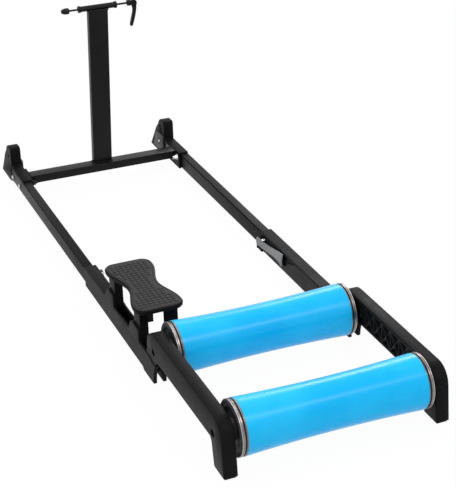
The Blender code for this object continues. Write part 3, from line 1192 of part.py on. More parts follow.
def make_post(axis):
    """Build the leaning post with its welded gussets, and the fork tube that lies in its coped top."""
    frame, reach, lean = post_frame()
    centre = (0.0, FORK_TUBE_Y, FORK_TUBE_Z)
    top = reach - FORK_TUBE_RADIUS * COPE_SHARE
    foot = -POST_DEPTH * math.tan(abs(lean))
    outline = rounded_rectangle((0.0, 0.0), POST_WIDTH, POST_DEPTH, POST_CORNER)
    post = prism("fork_post", [outline], foot, top, "Z", BLACK_PAINT, frame)
    hollow = prism("post_hollow", [rectangle((POST_WALL - POST_WIDTH / 2, POST_WALL - POST_DEPTH / 2),
                                             (POST_WIDTH / 2 - POST_WALL, POST_DEPTH / 2 - POST_WALL))],
                   foot - CUT_PAST, reach - FORK_TUBE_RADIUS - POST_WALL, "Z", None, frame)
    floor = CROSSBAR_TOP + SEAT_GAP
    below = box("below_crossbar_top", (-POST_WIDTH, POST_BASE_Y - POST_WIDTH, CROSSBAR_TOP - POST_WIDTH),
                (POST_WIDTH, POST_BASE_Y + POST_WIDTH, floor))
    cope = turned("post_cope", disc_profile(FORK_TUBE_RADIUS + SEAT_GAP, -POST_WIDTH, POST_WIDTH), centre,
                  "X", SMALL_SEGMENTS, closed=False)
    near = POST_WIDTH / 2 - POST_WALL / 2
    shoulder = reach - FORK_TUBE_RADIUS
    for _, side in SIDES:
        upper = [(near, shoulder), (POST_WIDTH / 2 + TOP_GUSSET, shoulder), (near, shoulder - TOP_GUSSET)]
        join(post, prism("top_gusset", [mirrored(upper, side)], -GUSSET_THICKNESS / 2,
                         GUSSET_THICKNESS / 2, "Y", None, frame))
        lower = [(near, floor), (POST_WIDTH / 2 + BASE_GUSSET, floor), (near, floor + BASE_GUSSET)]
        join(post, prism("base_gusset", [mirrored(lower, side)], POST_BASE_Y - GUSSET_THICKNESS / 2,
                         POST_BASE_Y + GUSSET_THICKNESS / 2, "Y"))
    cut(post, hollow, below, cope)
    attach(post, axis)
    half = FORK_TUBE_LENGTH / 2
    collar = half - FORK_COLLAR_LENGTH
    profile = [(FORK_TUBE_BORE_RADIUS, -half), (FORK_COLLAR_RADIUS, -half), (FORK_COLLAR_RADIUS, -collar),
               (FORK_TUBE_RADIUS, -collar), (FORK_TUBE_RADIUS, collar), (FORK_COLLAR_RADIUS, collar),
               (FORK_COLLAR_RADIUS, half), (FORK_TUBE_BORE_RADIUS, half)]
    attach(turned("fork_tube", profile, centre, "X", SMALL_SEGMENTS, BLACK_PAINT), axis)


# Skewer

def make_skewer():
    """Build the skewer's rod with its eye, the head, the cam pin, the nut and the cam lever."""
    centre = (0.0, FORK_TUBE_Y, FORK_TUBE_Z)
    axis = body_axis("skewer_axis", centre)
    rod = turned("skewer_rod", disc_profile(SKEWER_RADIUS, NUT_OUTER_X + ROD_SETBACK, CAM_X), centre, "X",
                 SCREW_SEGMENTS, STEEL, closed=False)
    eye = prism("rod_eye", [arc((CAM_X, FORK_TUBE_Z), EYE_RADIUS, 0, 330, 11)],
                FORK_TUBE_Y - EYE_THICKNESS / 2, FORK_TUBE_Y + EYE_THICKNESS / 2, "Y")
    pin_hole = turned("eye_hole", disc_profile(CAM_PIN_RADIUS + SEAT_GAP / 2, -CAM_WIDTH, CAM_WIDTH),
                      (CAM_X, FORK_TUBE_Y, FORK_TUBE_Z), "Y", SCREW_SEGMENTS, closed=False)
    join(rod, eye)
    cut(rod, pin_hole)
    attach(rod, axis)
    bore = SKEWER_RADIUS + SEAT_GAP
    head = [(bore, HEAD_INNER_X), (HEAD_RADIUS, HEAD_INNER_X),
            (HEAD_RADIUS, HEAD_OUTER_X - HEAD_CHAMFER_LENGTH),
            (HEAD_RADIUS - HEAD_CHAMFER, HEAD_OUTER_X), (bore, HEAD_OUTER_X)]
    attach(turned("skewer_head", head, centre, "X", SMALL_SEGMENTS, BLACK_PAINT), axis)
    half = CAM_WIDTH / 2 - CAM_PIN_SETBACK
    attach(turned("cam_pin", disc_profile(CAM_PIN_RADIUS, -half, half), (CAM_X, FORK_TUBE_Y, FORK_TUBE_Z),
                  "Y", SCREW_SEGMENTS, STEEL, closed=False), axis)
    nut_axis = body_axis("skewer_nut_axis", (NUT_INNER_X, FORK_TUBE_Y, FORK_TUBE_Z))
    collar_x = NUT_INNER_X - NUT_COLLAR
    nut = [(bore, NUT_INNER_X), (NUT_RADIUS, NUT_INNER_X), (NUT_RADIUS, collar_x),
           (NUT_CONE_RADIUS, collar_x - NUT_SHOULDER),
           (NUT_TIP_RADIUS + NUT_TIP_ROUND, NUT_OUTER_X + NUT_TIP),
           (NUT_TIP_RADIUS, NUT_OUTER_X), (bore, NUT_OUTER_X)]
    attach(turned("skewer_nut", nut, centre, "X", SMALL_SEGMENTS, BLACK_PAINT), nut_axis)
    make_skewer_lever()


def make_skewer_lever():
    """Build the cam lever: a slotted cam and a blade that bows towards the fork tube."""
    axis = body_axis("skewer_lever_axis", (CAM_X, FORK_TUBE_Y, FORK_TUBE_Z))
    cam = prism("skewer_lever", [arc((CAM_X, FORK_TUBE_Z), CAM_RADIUS, 0, 337.5, 15)],
                FORK_TUBE_Y - CAM_WIDTH / 2, FORK_TUBE_Y + CAM_WIDTH / 2, "Y", BLACK_PAINT)
    outer = []
    inner = []
    for index in range(QR_BLADE_STEPS + 1):
        share = index / QR_BLADE_STEPS
        z = FORK_TUBE_Z - QR_BLADE_TOP_DROP - QR_BLADE_LENGTH * share
        x = CAM_X + QR_BLADE_OFFSET - QR_BLADE_BOW * share ** 2
        half = (QR_BLADE_THICKNESS + (QR_BLADE_TIP_THICKNESS - QR_BLADE_THICKNESS) * share) / 2
        outer.append((x + half, z))
        inner.append((x - half, z))
    blade_half = CAM_WIDTH / 2 - QR_BLADE_SIDE_STEP
    blade = prism("lever_blade", [outer + inner[::-1]], FORK_TUBE_Y - blade_half,
                  FORK_TUBE_Y + blade_half, "Y")
    centre = (CAM_X, FORK_TUBE_Y, FORK_TUBE_Z)
    slot_half = CAM_SLOT / 2
    slot = box("cam_slot", (CAM_X - CAM_WIDTH, FORK_TUBE_Y - slot_half,
                            FORK_TUBE_Z - SKEWER_RADIUS - SLIDE_GAP),
               (CAM_X + CAM_WIDTH, FORK_TUBE_Y + slot_half, FORK_TUBE_Z + CAM_WIDTH))
    pocket_half = slot_half + EYE_POCKET_GROW
    pocket = turned("eye_pocket", disc_profile(EYE_RADIUS + SEAT_GAP, -pocket_half, pocket_half),
                    centre, "Y", SMALL_SEGMENTS, closed=False)
    pin_hole = turned("cam_hole", disc_profile(CAM_PIN_RADIUS + SEAT_GAP, -CAM_WIDTH, CAM_WIDTH),
                      centre, "Y", SCREW_SEGMENTS, closed=False)
    join(cam, blade)
    cut(cam, slot, pocket, pin_hole)
    attach(cam, axis)


# Step

def step_half_width(share):
    """Return the step's half width at a share of its half length: full ends and a slim waist."""
    reach = min(1.0, abs(share) * STEP_WIDEN_RATE)
    smooth = reach * reach * (3 - 2 * reach)
    width = STEP_WAIST_HALF_WIDTH + (STEP_END_HALF_WIDTH - STEP_WAIST_HALF_WIDTH) * smooth
    corner_start = 1 - STEP_CORNER_LENGTH / STEP_HALF_LENGTH
    if abs(share) <= corner_start:
        return width
    along = (abs(share) - corner_start) / (1 - corner_start)
    corner = STEP_CORNER_LENGTH * (1 - math.sqrt(max(0.0, 1 - along * along)))
    return width - corner


def step_outline():
    """Return the step's bone-shaped outline seen from above."""
    corner_start = 1 - STEP_CORNER_LENGTH / STEP_HALF_LENGTH
    shares = [corner_start * index / 6 for index in range(7)]
    shares += [corner_start + (1 - corner_start) * math.sin(math.radians(angle))
               for angle in (22.5, 45, 67.5, 90)]
    whole = [-share for share in shares[:0:-1]] + shares
    right = [(STEP_CENTRE_X + step_half_width(s), STEP_CENTRE_Y + s * STEP_HALF_LENGTH) for s in whole]
    left = [(STEP_CENTRE_X - step_half_width(s), STEP_CENTRE_Y + s * STEP_HALF_LENGTH) for s in whole]
    return right + left[::-1]


def step_pockets():
    """Return the outlines of the pockets that leave a skirt, cross ribs and one long rib."""
    inner_half = STEP_HALF_LENGTH - STEP_SKIRT
    bay = 2 * inner_half / STEP_BAYS
    pockets = []
    for index in range(STEP_BAYS):
        start = -inner_half + index * bay + STEP_RIB / 2
        end = start + bay - STEP_RIB
        places = [start + (end - start) * point / STEP_POCKET_STEPS
                  for point in range(STEP_POCKET_STEPS + 1)]
        edge = [(step_half_width(place / inner_half) - STEP_SKIRT, place) for place in places]
        near = STEP_RIB / 2
        for side in (LEFT, RIGHT):
            loop = [(near, start)] + edge + [(near, end)]
            pockets.append([(STEP_CENTRE_X + side * x, STEP_CENTRE_Y + y) for x, y in loop])
    return pockets


def left_leg_outline(rear_y):
    """Return a left leg's section: a channel open towards the trainer's middle."""
    inner = rail_section(SLIDE_GAP)[0][0] + SEAT_GAP
    outer = SLEEVE_OUTER - SOCKET_OUTER_WALL - SEAT_GAP
    front_y = rear_y + SOCKET_LENGTH - SEAT_GAP
    return mirrored([(inner, rear_y), (outer, rear_y), (outer, front_y), (inner, front_y),
                     (inner, front_y - LEG_WALL), (outer - LEG_WALL, front_y - LEG_WALL),
                     (outer - LEG_WALL, rear_y + LEG_WALL), (inner, rear_y + LEG_WALL)], LEFT)


def right_leg_outline(rear_y):
    """Return a right leg's section: an angle with its back to the rear and to the right."""
    front_y = rear_y + SOCKET_LENGTH - SEAT_GAP
    outer = RIGHT_LEG_OUTER_X
    return [(outer, rear_y), (outer, front_y), (outer - LEG_WALL, front_y),
            (outer - LEG_WALL, rear_y + LEG_WALL), (outer - RIGHT_LEG_WIDTH, rear_y + LEG_WALL),
            (outer - RIGHT_LEG_WIDTH, rear_y)]


def make_step():
    """Build the step as one moulding: its top, ribbed below, and four legs."""
    axis = body_axis("step_axis", (STEP_CENTRE_X, STEP_CENTRE_Y, STEP_UNDERSIDE))
    step = round_edges(prism("step", [step_outline()], STEP_UNDERSIDE, STEP_TOP, "Z", NYLON),
                       STEP_EDGE_ROUND)
    ceiling = STEP_TOP - STEP_SKIN
    cut(step, prism("step_hollow", step_pockets(), STEP_UNDERSIDE - CUT_PAST, ceiling, "Z"))
    leg_top = ceiling + SUNK
    for rear_y in (SOCKET_REAR_Y + SOCKET_CLEARANCE, SOCKET_FRONT_Y):
        join(step, prism("left_leg", [left_leg_outline(rear_y)], SOCKET_FLOOR + SEAT_GAP, leg_top, "Z"),
             prism("right_leg", [right_leg_outline(rear_y)], 0.0, leg_top, "Z"))
    attach(step, axis)


def build():
    """Build every piece of the rollers."""
    for name, side in SIDES:
        make_side_frame(name, side)
        make_rear_foot_pad(name, side)
        make_latch_bracket(name, side)
        make_latch(name, side)
        make_latch_hardware(name, side)
    make_roller("rear", REAR_AXLE_Y)
    make_roller("middle", MIDDLE_AXLE_Y)
    front = body_axis("front_frame_axis", (0.0, RAIL_REAR_Y, RAIL_CENTRE_Z))
    make_rails(front)
    for name, side in SIDES:
        make_front_foot(name, side, front)
        make_foot_plate(name, side, front)
        make_front_foot_pad(name, side, front)
        make_rail_bolts(name, side, front)
    make_crossbar(front)
    make_post(front)
    make_skewer()
    make_step()


build()
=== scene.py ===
"""Dressed scene for a set of bike rollers with a fork stand and a step.

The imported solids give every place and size, in metres. Each sub-assembly is a class that builds its
meshes as surfaces of two parameters and hands them to the Dresser, which gives each one its finish,
its body and the solids that it stands for. Shapes that the solids already have are carried over with
welded, softly rounded edges.
"""

import json
import logging
import math
from collections.abc import Callable, Sequence
from dataclasses import dataclass
from enum import Enum

import bmesh
import bpy
import numpy as np
from mathutils import Matrix, Vector

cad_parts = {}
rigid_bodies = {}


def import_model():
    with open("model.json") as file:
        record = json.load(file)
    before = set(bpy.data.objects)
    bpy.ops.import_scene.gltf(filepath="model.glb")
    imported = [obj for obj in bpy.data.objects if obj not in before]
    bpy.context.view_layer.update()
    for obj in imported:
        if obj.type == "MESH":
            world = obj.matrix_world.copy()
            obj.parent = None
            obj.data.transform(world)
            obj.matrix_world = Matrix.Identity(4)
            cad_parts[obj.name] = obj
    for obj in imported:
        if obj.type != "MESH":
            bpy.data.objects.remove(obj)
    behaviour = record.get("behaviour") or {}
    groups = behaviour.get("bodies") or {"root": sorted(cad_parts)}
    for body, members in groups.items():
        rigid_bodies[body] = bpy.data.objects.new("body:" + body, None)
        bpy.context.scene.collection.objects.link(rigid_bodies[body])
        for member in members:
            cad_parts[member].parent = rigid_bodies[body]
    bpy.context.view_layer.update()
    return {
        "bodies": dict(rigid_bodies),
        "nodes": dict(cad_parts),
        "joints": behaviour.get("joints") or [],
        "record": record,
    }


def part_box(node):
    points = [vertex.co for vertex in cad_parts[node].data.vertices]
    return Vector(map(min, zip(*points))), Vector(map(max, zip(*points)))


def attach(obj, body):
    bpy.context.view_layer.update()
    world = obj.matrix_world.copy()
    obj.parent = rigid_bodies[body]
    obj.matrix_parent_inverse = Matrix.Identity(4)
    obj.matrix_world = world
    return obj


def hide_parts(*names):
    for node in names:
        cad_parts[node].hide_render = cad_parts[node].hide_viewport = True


LOG = logging.getLogger("bike_rollers")
MM = 0.001
SIDES = (("left", -1.0), ("right", 1.0))
ROLLERS = ("rear", "middle")
# Points closer than this, in metres, are merged: in a solid's mesh, and in a new surface.
SOLID_WELD = 2e-6
SURFACE_WELD = 1e-7
# Angles in degrees: faces that count as one plane, edges that are rounded, and edges that stay sharp.
FLAT_ANGLE = 0.6
ROUNDED_ANGLE = 42
SOLID_CREASE = 38
SURFACE_CREASE = 35


class Axis(Enum):
    """The direction that a shape is built along, with the two directions that span its section."""

    X = ((1, 0, 0), (0, 1, 0), (0, 0, 1))
    Y = ((0, 1, 0), (1, 0, 0), (0, 0, 1))
    Z = ((0, 0, 1), (1, 0, 0), (0, 1, 0))

    def place(self, along: np.ndarray, first: np.ndarray, second: np.ndarray) -> np.ndarray:
        """Return the points along·a + first·b + second·c for the axis a and section directions b, c."""
        a, b, c = (np.array(direction, float) for direction in self.value)
        return along[..., None] * a + first[..., None] * b + second[..., None] * c


class Slot(Enum):
    """The record's material slots."""

    NYLON = "frame_nylon"
    PAINT = "black_paint"
    GREY = "lever_grey"
    BLUE = "roller_blue"
    CAP = "cap_metal"
    RAIL = "rail_black"
    ZINC = "zinc_steel"
    PLATE = "plate_grey"
    RUBBER = "pad_rubber"


@dataclass(frozen=True)
class Span:
    """The box of a solid at rest."""

    low: np.ndarray
    high: np.ndarray

    @classmethod
    def of(cls, node: str) -> "Span":
        """Return the box round the named solid."""
        low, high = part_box(node)
        return cls(np.array(low, float), np.array(high, float))

    @property
    def centre(self) -> np.ndarray:
        """The middle of the box."""
        return (self.low + self.high) / 2

    @property
    def size(self) -> np.ndarray:
        """The length of each side of the box."""
        return self.high - self.low

    def end(self, side: float) -> np.ndarray:
        """Return the middle of the face where X is lowest, or highest if the side is negative."""
        return np.array([self.low[0] if side > 0 else self.high[0], *self.centre[1:]])


# Materials

def linear(hex_colour: str) -> tuple[float, float, float, float]:
    """Turn an sRGB hex colour into the linear values that a shader takes.

    Args:
        hex_colour: Six hex digits.

    Returns:
        Red, green, blue and an alpha of one.
    """
    channels = [int(hex_colour[place:place + 2], 16) / 255 for place in (0, 2, 4)]
    values = [c / 12.92 if c <= 0.04045 else ((c + 0.055) / 1.055) ** 2.4 for c in channels]
    return (*values, 1.0)


def add_node(tree: bpy.types.NodeTree, kind: str, inputs: dict | None = None,
             **settings: str) -> bpy.types.Node:
    """Add a node with its settings and links.

    Args:
        tree: The node tree that takes the node.
        kind: The node's type name.
        inputs: For each input socket, a value or the output socket that is linked to it.
        settings: Attributes of the node to set.

    Returns:
        The new node.
    """
    node = tree.nodes.new(kind)
    for name, value in settings.items():
        setattr(node, name, value)
    for socket, value in (inputs or {}).items():
        if isinstance(value, bpy.types.NodeSocket):
            tree.links.new(value, node.inputs[socket])
        else:
            node.inputs[socket].default_value = value
    return node


@dataclass(frozen=True)
class Finish:
    """What a material is and how its surface was made.

    Attributes:
        name: The material's plain name.
        shade: Colour of the darker patches, as sRGB hex.
        light: Colour of the lighter patches.
        patch_mm: Size of the patches of colour.
        roughness: Lowest and highest roughness.
        grain_mm: Size of the surface's grain along X, Y and Z.
        relief_mm: Height of the grain.
        metallic: One for a bare metal.
        specular: Specular level, which metals leave at a half.
        ridged: Whether the grain is a field of small cells, as spark-eroded moulds leave.
    """

    name: str
    shade: str
    light: str
    patch_mm: float
    roughness: tuple[float, float]
    grain_mm: tuple[float, float, float]
    relief_mm: float
    metallic: float = 0.0
    specular: float = 0.5
    ridged: bool = False

    def material(self) -> bpy.types.Material:
        """Build the material from Object coordinates: patches of colour and gloss over a fine grain."""
        material = bpy.data.materials.new(self.name)
        material.use_nodes = True
        tree = material.node_tree
        shader = tree.nodes["Principled BSDF"]
        shader.inputs["Metallic"].default_value = self.metallic
        shader.inputs["Specular IOR Level"].default_value = self.specular
        place = add_node(tree, "ShaderNodeTexCoord").outputs["Object"]
        patches = add_node(tree, "ShaderNodeTexNoise", {
            "Vector": place, "Scale": 1000 / self.patch_mm, "Detail": 3.0, "Roughness": 0.6}).outputs["Fac"]
        ramp = add_node(tree, "ShaderNodeValToRGB", {"Fac": patches})
        for stop, position, colour in zip(ramp.color_ramp.elements, (0.35, 0.65), (self.shade, self.light)):
            stop.position = position
            stop.color = linear(colour)
        tree.links.new(ramp.outputs["Color"], shader.inputs["Base Color"])
        fine = add_node(tree, "ShaderNodeMapping", {
            "Vector": place, "Scale": tuple(1000 / size for size in self.grain_mm)}).outputs["Vector"]
        if self.ridged:
            grain = add_node(tree, "ShaderNodeTexVoronoi", {"Vector": fine, "Scale": 1.0, "Smoothness": 0.4},
                             feature="SMOOTH_F1").outputs["Distance"]
        else:
            grain = add_node(tree, "ShaderNodeTexNoise", {
                "Vector": fine, "Scale": 1.0, "Detail": 2.0}).outputs["Fac"]
        bump = add_node(tree, "ShaderNodeBump", {
            "Height": grain, "Distance": self.relief_mm * MM, "Strength": 1.0})
        tree.links.new(bump.outputs["Normal"], shader.inputs["Normal"])
        gloss = add_node(tree, "ShaderNodeMapRange", {
            "Value": patches, "From Min": 0.3, "From Max": 0.7,
            "To Min": self.roughness[0], "To Max": self.roughness[1]})
        tree.links.new(gloss.outputs["Result"], shader.inputs["Roughness"])
        return material


FINISHES = {
    # Glass-filled nylon from a spark-eroded mould: a fine even grain that scatters the light softly.
    Slot.NYLON: Finish("moulded_black_nylon", "111112", "171718", 45, (0.38, 0.48), (0.9, 0.9, 0.9), 0.05,
                       specular=0.036, ridged=True),
    # Powder coat on steel: the slow ripple of orange peel under a satin gloss.
    Slot.PAINT: Finish("satin_black_powder_coat", "0A0A0B", "0F0F10", 60, (0.34, 0.42), (2.4, 2.4, 2.4), 0.05,
                       specular=0.15),
    # Silver-grey filled ABS: flow marks a few centimetres long and a fine grain.
    Slot.GREY: Finish("silver_grey_abs", "6B6D6F", "7A7C7E", 30, (0.38, 0.46), (0.8, 0.8, 0.8), 0.03),
    # Polished polymer sleeve, turned on a lathe: faint rings round the axis under a wet gloss.
    Slot.BLUE: Finish("polished_blue_polymer", "10B4F2", "20BEF8", 90, (0.20, 0.28), (1.6, 60.0, 60.0),
                      0.012, specular=0.15),
    # Die-cast aluminium, turned on its faces: rings and a soft metallic glow.
    Slot.CAP: Finish("turned_cast_aluminium", "7E7571", "90867F", 25, (0.26, 0.36), (0.5, 12.0, 12.0), 0.02,
                     metallic=1.0),
    # Black anodised extrusion: draw lines along its length.
    Slot.RAIL: Finish("black_anodised_aluminium", "101011", "151517", 70, (0.34, 0.44), (0.7, 90.0, 0.7),
                      0.02, specular=0.045),
    # Bright zinc plate with a faint cloudiness.
    Slot.ZINC: Finish("bright_zinc_plate", "B9BCC0", "CDD0D4", 12, (0.22, 0.34), (1.2, 1.2, 1.2), 0.01,
                      metallic=1.0),
    # Dark grey paint on steel, matt: the foot plates and the dishes of the roller caps.
    Slot.PLATE: Finish("matt_grey_painted_steel", "2C2E30", "363839", 18, (0.42, 0.52), (1.0, 1.0, 1.0), 0.03,
                       specular=0.2),
    # Moulded rubber, dull and slightly dusty.
    Slot.RUBBER: Finish("moulded_black_rubber", "0E0E0F", "191919", 10, (0.78, 0.9), (1.0, 1.0, 1.0), 0.08,
                        specular=0.3, ridged=True),
}

# The tread's nylon, worn and dusty from shoes: the same grain, paler and duller than the frame's.
TREAD = Finish("worn_black_nylon_tread", "29292A", "333334", 22, (0.50, 0.62), (0.9, 0.9, 0.9), 0.06,
               specular=0.12, ridged=True)


class Dresser:
    """Gives each piece its finish, its body and the solids that it stands for."""

    def __init__(self, frame: dict) -> None:
        """Build the materials and remember which body each solid rides on."""
        self.nodes = frame["nodes"]
        bodies = {empty: name for name, empty in frame["bodies"].items()}
        self.body = {name: bodies[node.parent] for name, node in self.nodes.items()}
        self.materials = {slot: finish.material() for slot, finish in FINISHES.items()}
        self.tread = TREAD.material()

    def add(self, piece: bpy.types.Object, slot: Slot, *nodes: str, beside: str | None = None,
            worn: bool = False) -> None:
        """Finish a new piece and set it on its body.

        Args:
            piece: The object to dress.
            slot: The record's slot that its finish comes from.
            nodes: The solids that the piece stands for.
            beside: A solid on the same body, for a piece that stands for none.
            worn: Whether the piece is tread that shoes have worn.
        """
        piece.data.materials.clear()
        piece.data.materials.append(self.tread if worn else self.materials[slot])
        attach(piece, self.body[beside or nodes[0]])
        if nodes:
            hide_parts(*nodes)
        LOG.info("%s: %d faces, %s", piece.name, len(piece.data.polygons), slot.value)

    def keep(self, node: str, slot: Slot) -> None:
        """Give a solid that stays as it is its finish."""
        for place in self.nodes[node].material_slots:
            place.material = self.materials[slot]
        LOG.info("%s: carried over, %s", node, slot.value)

    def soften(self, node: str, slot: Slot, edge: float,
               fine: Callable[[Vector], bool] = lambda place: False) -> None:
        """Replace a solid with its welded copy, whose sharp edges are rounded.

        Triangles that lie in one plane are joined into one face first, so that a rounding runs
        along whole edges. Fine work, such as a lattice, keeps its triangles and its crisp edges.

        Args:
            node: The solid to copy.
            slot: The record's slot that its finish comes from.
            edge: Width of the rounding.
            fine: Whether a point lies on fine work.
        """
        mesh = self.nodes[node].data.copy()
        mesh.name = node + "_soft"
        build = bmesh.new()
        build.from_mesh(mesh)
        bmesh.ops.remove_doubles(build, verts=build.verts, dist=SOLID_WELD)
        plain = {vert for vert in build.verts if not fine(vert.co)}
        open_faces = {face for face in build.faces if plain.issuperset(face.verts)}
        lines = [line for line in build.edges if open_faces.issuperset(line.link_faces)]
        bmesh.ops.dissolve_limit(build, angle_limit=math.radians(FLAT_ANGLE), verts=list(plain),
                                 edges=lines)
        weight = build.edges.layers.float.new("bevel_weight_edge")
        for line in build.edges:
            sharp = line.is_manifold and line.calc_face_angle() > math.radians(ROUNDED_ANGLE)
            line[weight] = float(sharp and not any(fine(vert.co) for vert in line.verts))
        build.to_mesh(mesh)
        build.free()
        piece = smooth_object(node + "_moulding", mesh, crease=SOLID_CREASE)
        bevel = piece.modifiers.new("soft_edges", "BEVEL")
        bevel.width = edge
        bevel.segments = 2
        bevel.limit_method = "WEIGHT"
        bevel.harden_normals = True
        bevel.miter_outer = "MITER_ARC"
        self.add(piece, slot, node)


# Surfaces

def smooth_object(name: str, mesh: bpy.types.Mesh, crease: float) -> bpy.types.Object:
    """Put a mesh in the scene, smooth but for edges sharper than the crease in degrees."""
    mesh.shade_smooth()
    mesh.set_sharp_from_angle(angle=math.radians(crease))
    piece = bpy.data.objects.new(name, mesh)
    bpy.context.scene.collection.objects.link(piece)
    return piece


def surface(name: str, points: np.ndarray, caps: bool = False) -> bpy.types.Object:
    """Make a mesh object from a grid of points whose rows are closed rings.

    Point (i, j) is joined to (i+1, j) and (i, j+1) by quads, and the last column to the first.
    Points that coincide, at poles and seams, are merged, and the faces are turned outwards.

    Args:
        name: The object's name.
        points: Rows by columns by three, or blocks of such grids that become one mesh.
        caps: Whether a flat face closes the first row and the last.

    Returns:
        The object.
    """
    blocks = points if points.ndim == 4 else points[None]
    count, rows, columns, _ = blocks.shape
    index = np.arange(count * rows * columns).reshape(count, rows, columns)
    loop = np.concatenate([index, index[..., :1]], axis=2)
    quads = np.stack([loop[:, :-1, :-1], loop[:, :-1, 1:], loop[:, 1:, 1:], loop[:, 1:, :-1]], axis=-1)
    faces = quads.reshape(-1, 4).tolist()
    if caps:
        faces += index[:, 0, ::-1].tolist() + index[:, -1].tolist()
    mesh = bpy.data.meshes.new(name)
    mesh.from_pydata(blocks.reshape(-1, 3).tolist(), [], faces)
    build = bmesh.new()
    build.from_mesh(mesh)
    bmesh.ops.remove_doubles(build, verts=build.verts, dist=SURFACE_WELD)
    bmesh.ops.recalc_face_normals(build, faces=build.faces)
    build.to_mesh(mesh)
    build.free()
    return smooth_object(name, mesh, crease=SURFACE_CREASE)


def lengths(vectors: np.ndarray) -> np.ndarray:
    """Return the rows' lengths as a column, never under a billionth, so that they can divide."""
    return np.maximum(np.linalg.norm(vectors, axis=1, keepdims=True), 1e-9)


def rounded(corners: np.ndarray, radius: float | np.ndarray, closed: bool = True,
            steps: int = 4) -> np.ndarray:
    """Round an outline's corners.

    Each corner C becomes the curve (1-t)²P + 2t(1-t)C + t²Q. P and Q lie on its two sides, at the
    radius from C but never past 45 hundredths of the side.

    Args:
        corners: The outline's corners, count by two.
        radius: One radius, or one for each corner.
        closed: Whether the last corner joins the first; otherwise both ends stay as they are.
        steps: Straight pieces in each rounded corner.

    Returns:
        The rounded outline's points.
    """
    corners = np.asarray(corners, float)
    reach = np.broadcast_to(np.asarray(radius, float), (len(corners),))[:, None]

    def towards(neighbour: np.ndarray) -> np.ndarray:
        """Return the point on the side to each neighbour where the rounding starts."""
        side = neighbour - corners
        length = lengths(side)
        return corners + side / length * np.minimum(reach, 0.45 * length)

    t = np.linspace(0, 1, steps + 1)[None, :, None]
    start = towards(np.roll(corners, 1, axis=0))[:, None]
    end = towards(np.roll(corners, -1, axis=0))[:, None]
    curves = (1 - t) ** 2 * start + 2 * t * (1 - t) * corners[:, None] + t ** 2 * end
    if closed:
        return curves.reshape(-1, 2)
    return np.concatenate([corners[:1], curves[1:-1].reshape(-1, 2), corners[-1:]])


@dataclass(frozen=True)
class Teeth:
    """A knurl or lobes round a turned piece, as a scale of its radius: 1 - d(s + cos nv) at the angle v.

    Attributes:
        beyond_mm: The radius past which they are cut.
        depth: The depth d as a share of the radius.
        count: The number n of teeth.
        sunk: The shift s: one keeps the crests at the radius, and zero sets half of each tooth past it.
    """

    beyond_mm: float
    depth: float
    count: int
    sunk: float = 1.0


def lathe(name: str, profile: np.ndarray, centre: np.ndarray, axis: Axis, segments: int = 96,
          flats: tuple[float, float] | None = None, teeth: Teeth | None = None) -> bpy.types.Object:
    """Turn a profile of (radius, height) about an axis.

    P(i, j) = C + h_i·a + r_i·s_ij·(cos v_j·b + sin v_j·c). The scale s is one, but between the two
    radii of the flats it is cos 30° / cos((v mod 60°) - 30°), and teeth have a scale of their own.
    A profile that starts off the axis is joined to its own start.

    Args:
        name: The object's name.
        profile: Radius and height of each row.
        centre: The point where the height is zero.
        axis: The direction of the height.
        segments: Faces round the axis.
        flats: The two radii, in millimetres, between which the piece has six flats.
        teeth: Teeth round the piece.

    Returns:
        The turned object.
    """
    angle = np.linspace(0, 2 * np.pi, segments, endpoint=False)
    radius = profile[:, :1]
    scale = np.ones((len(profile), segments))
    if flats is not None:
        inside = (radius > flats[0] * MM) & (radius < flats[1] * MM)
        scale = np.where(inside, np.cos(np.pi / 6) / np.cos(np.mod(angle, np.pi / 3) - np.pi / 6), scale)
    if teeth is not None:
        cut = 1 - teeth.depth * (teeth.sunk + np.cos(teeth.count * angle))
        scale = np.where(radius > teeth.beyond_mm * MM, cut, scale)
    along = np.broadcast_to(profile[:, 1:], scale.shape)
    reach = radius * scale
    points = axis.place(along, reach * np.cos(angle), reach * np.sin(angle)) + centre
    closed_ring = profile[0, 0] > 1e-6
    if closed_ring:
        points = np.concatenate([points, points[:1]])
    return surface(name, points)


def turned(name: str, corners: Sequence[tuple[float, float]], bends: float | Sequence[float],
           centre: np.ndarray, side: float = 1.0, axis: Axis = Axis.X, segments: int = 48,
           flats: tuple[float, float] | None = None, teeth: Teeth | None = None) -> bpy.types.Object:
    """Turn an outline with rounded corners about an axis; see rounded and lathe for their formulas.

    An outline whose first corner lies on the axis ends there too, and is closed by it.

    Args:
        name: The object's name.
        corners: Radius and height of each corner, in millimetres.
        bends: The roundings of the corners, or one for them all, in millimetres.
        centre: The point where the height is zero.
        side: One where the height runs along the axis, and minus one where it runs against it.
        axis: The direction of the axis.
        segments: Faces round the axis.
        flats: The two radii, in millimetres, between which the piece has six flats.
        teeth: Teeth round the piece.

    Returns:
        The turned object.
    """
    outline = np.array(corners) * MM
    profile = rounded(outline, np.array(bends) * MM, closed=outline[0, 0] > 0) * (1, side)
    return lathe(name, profile, centre, axis, segments, flats, teeth)


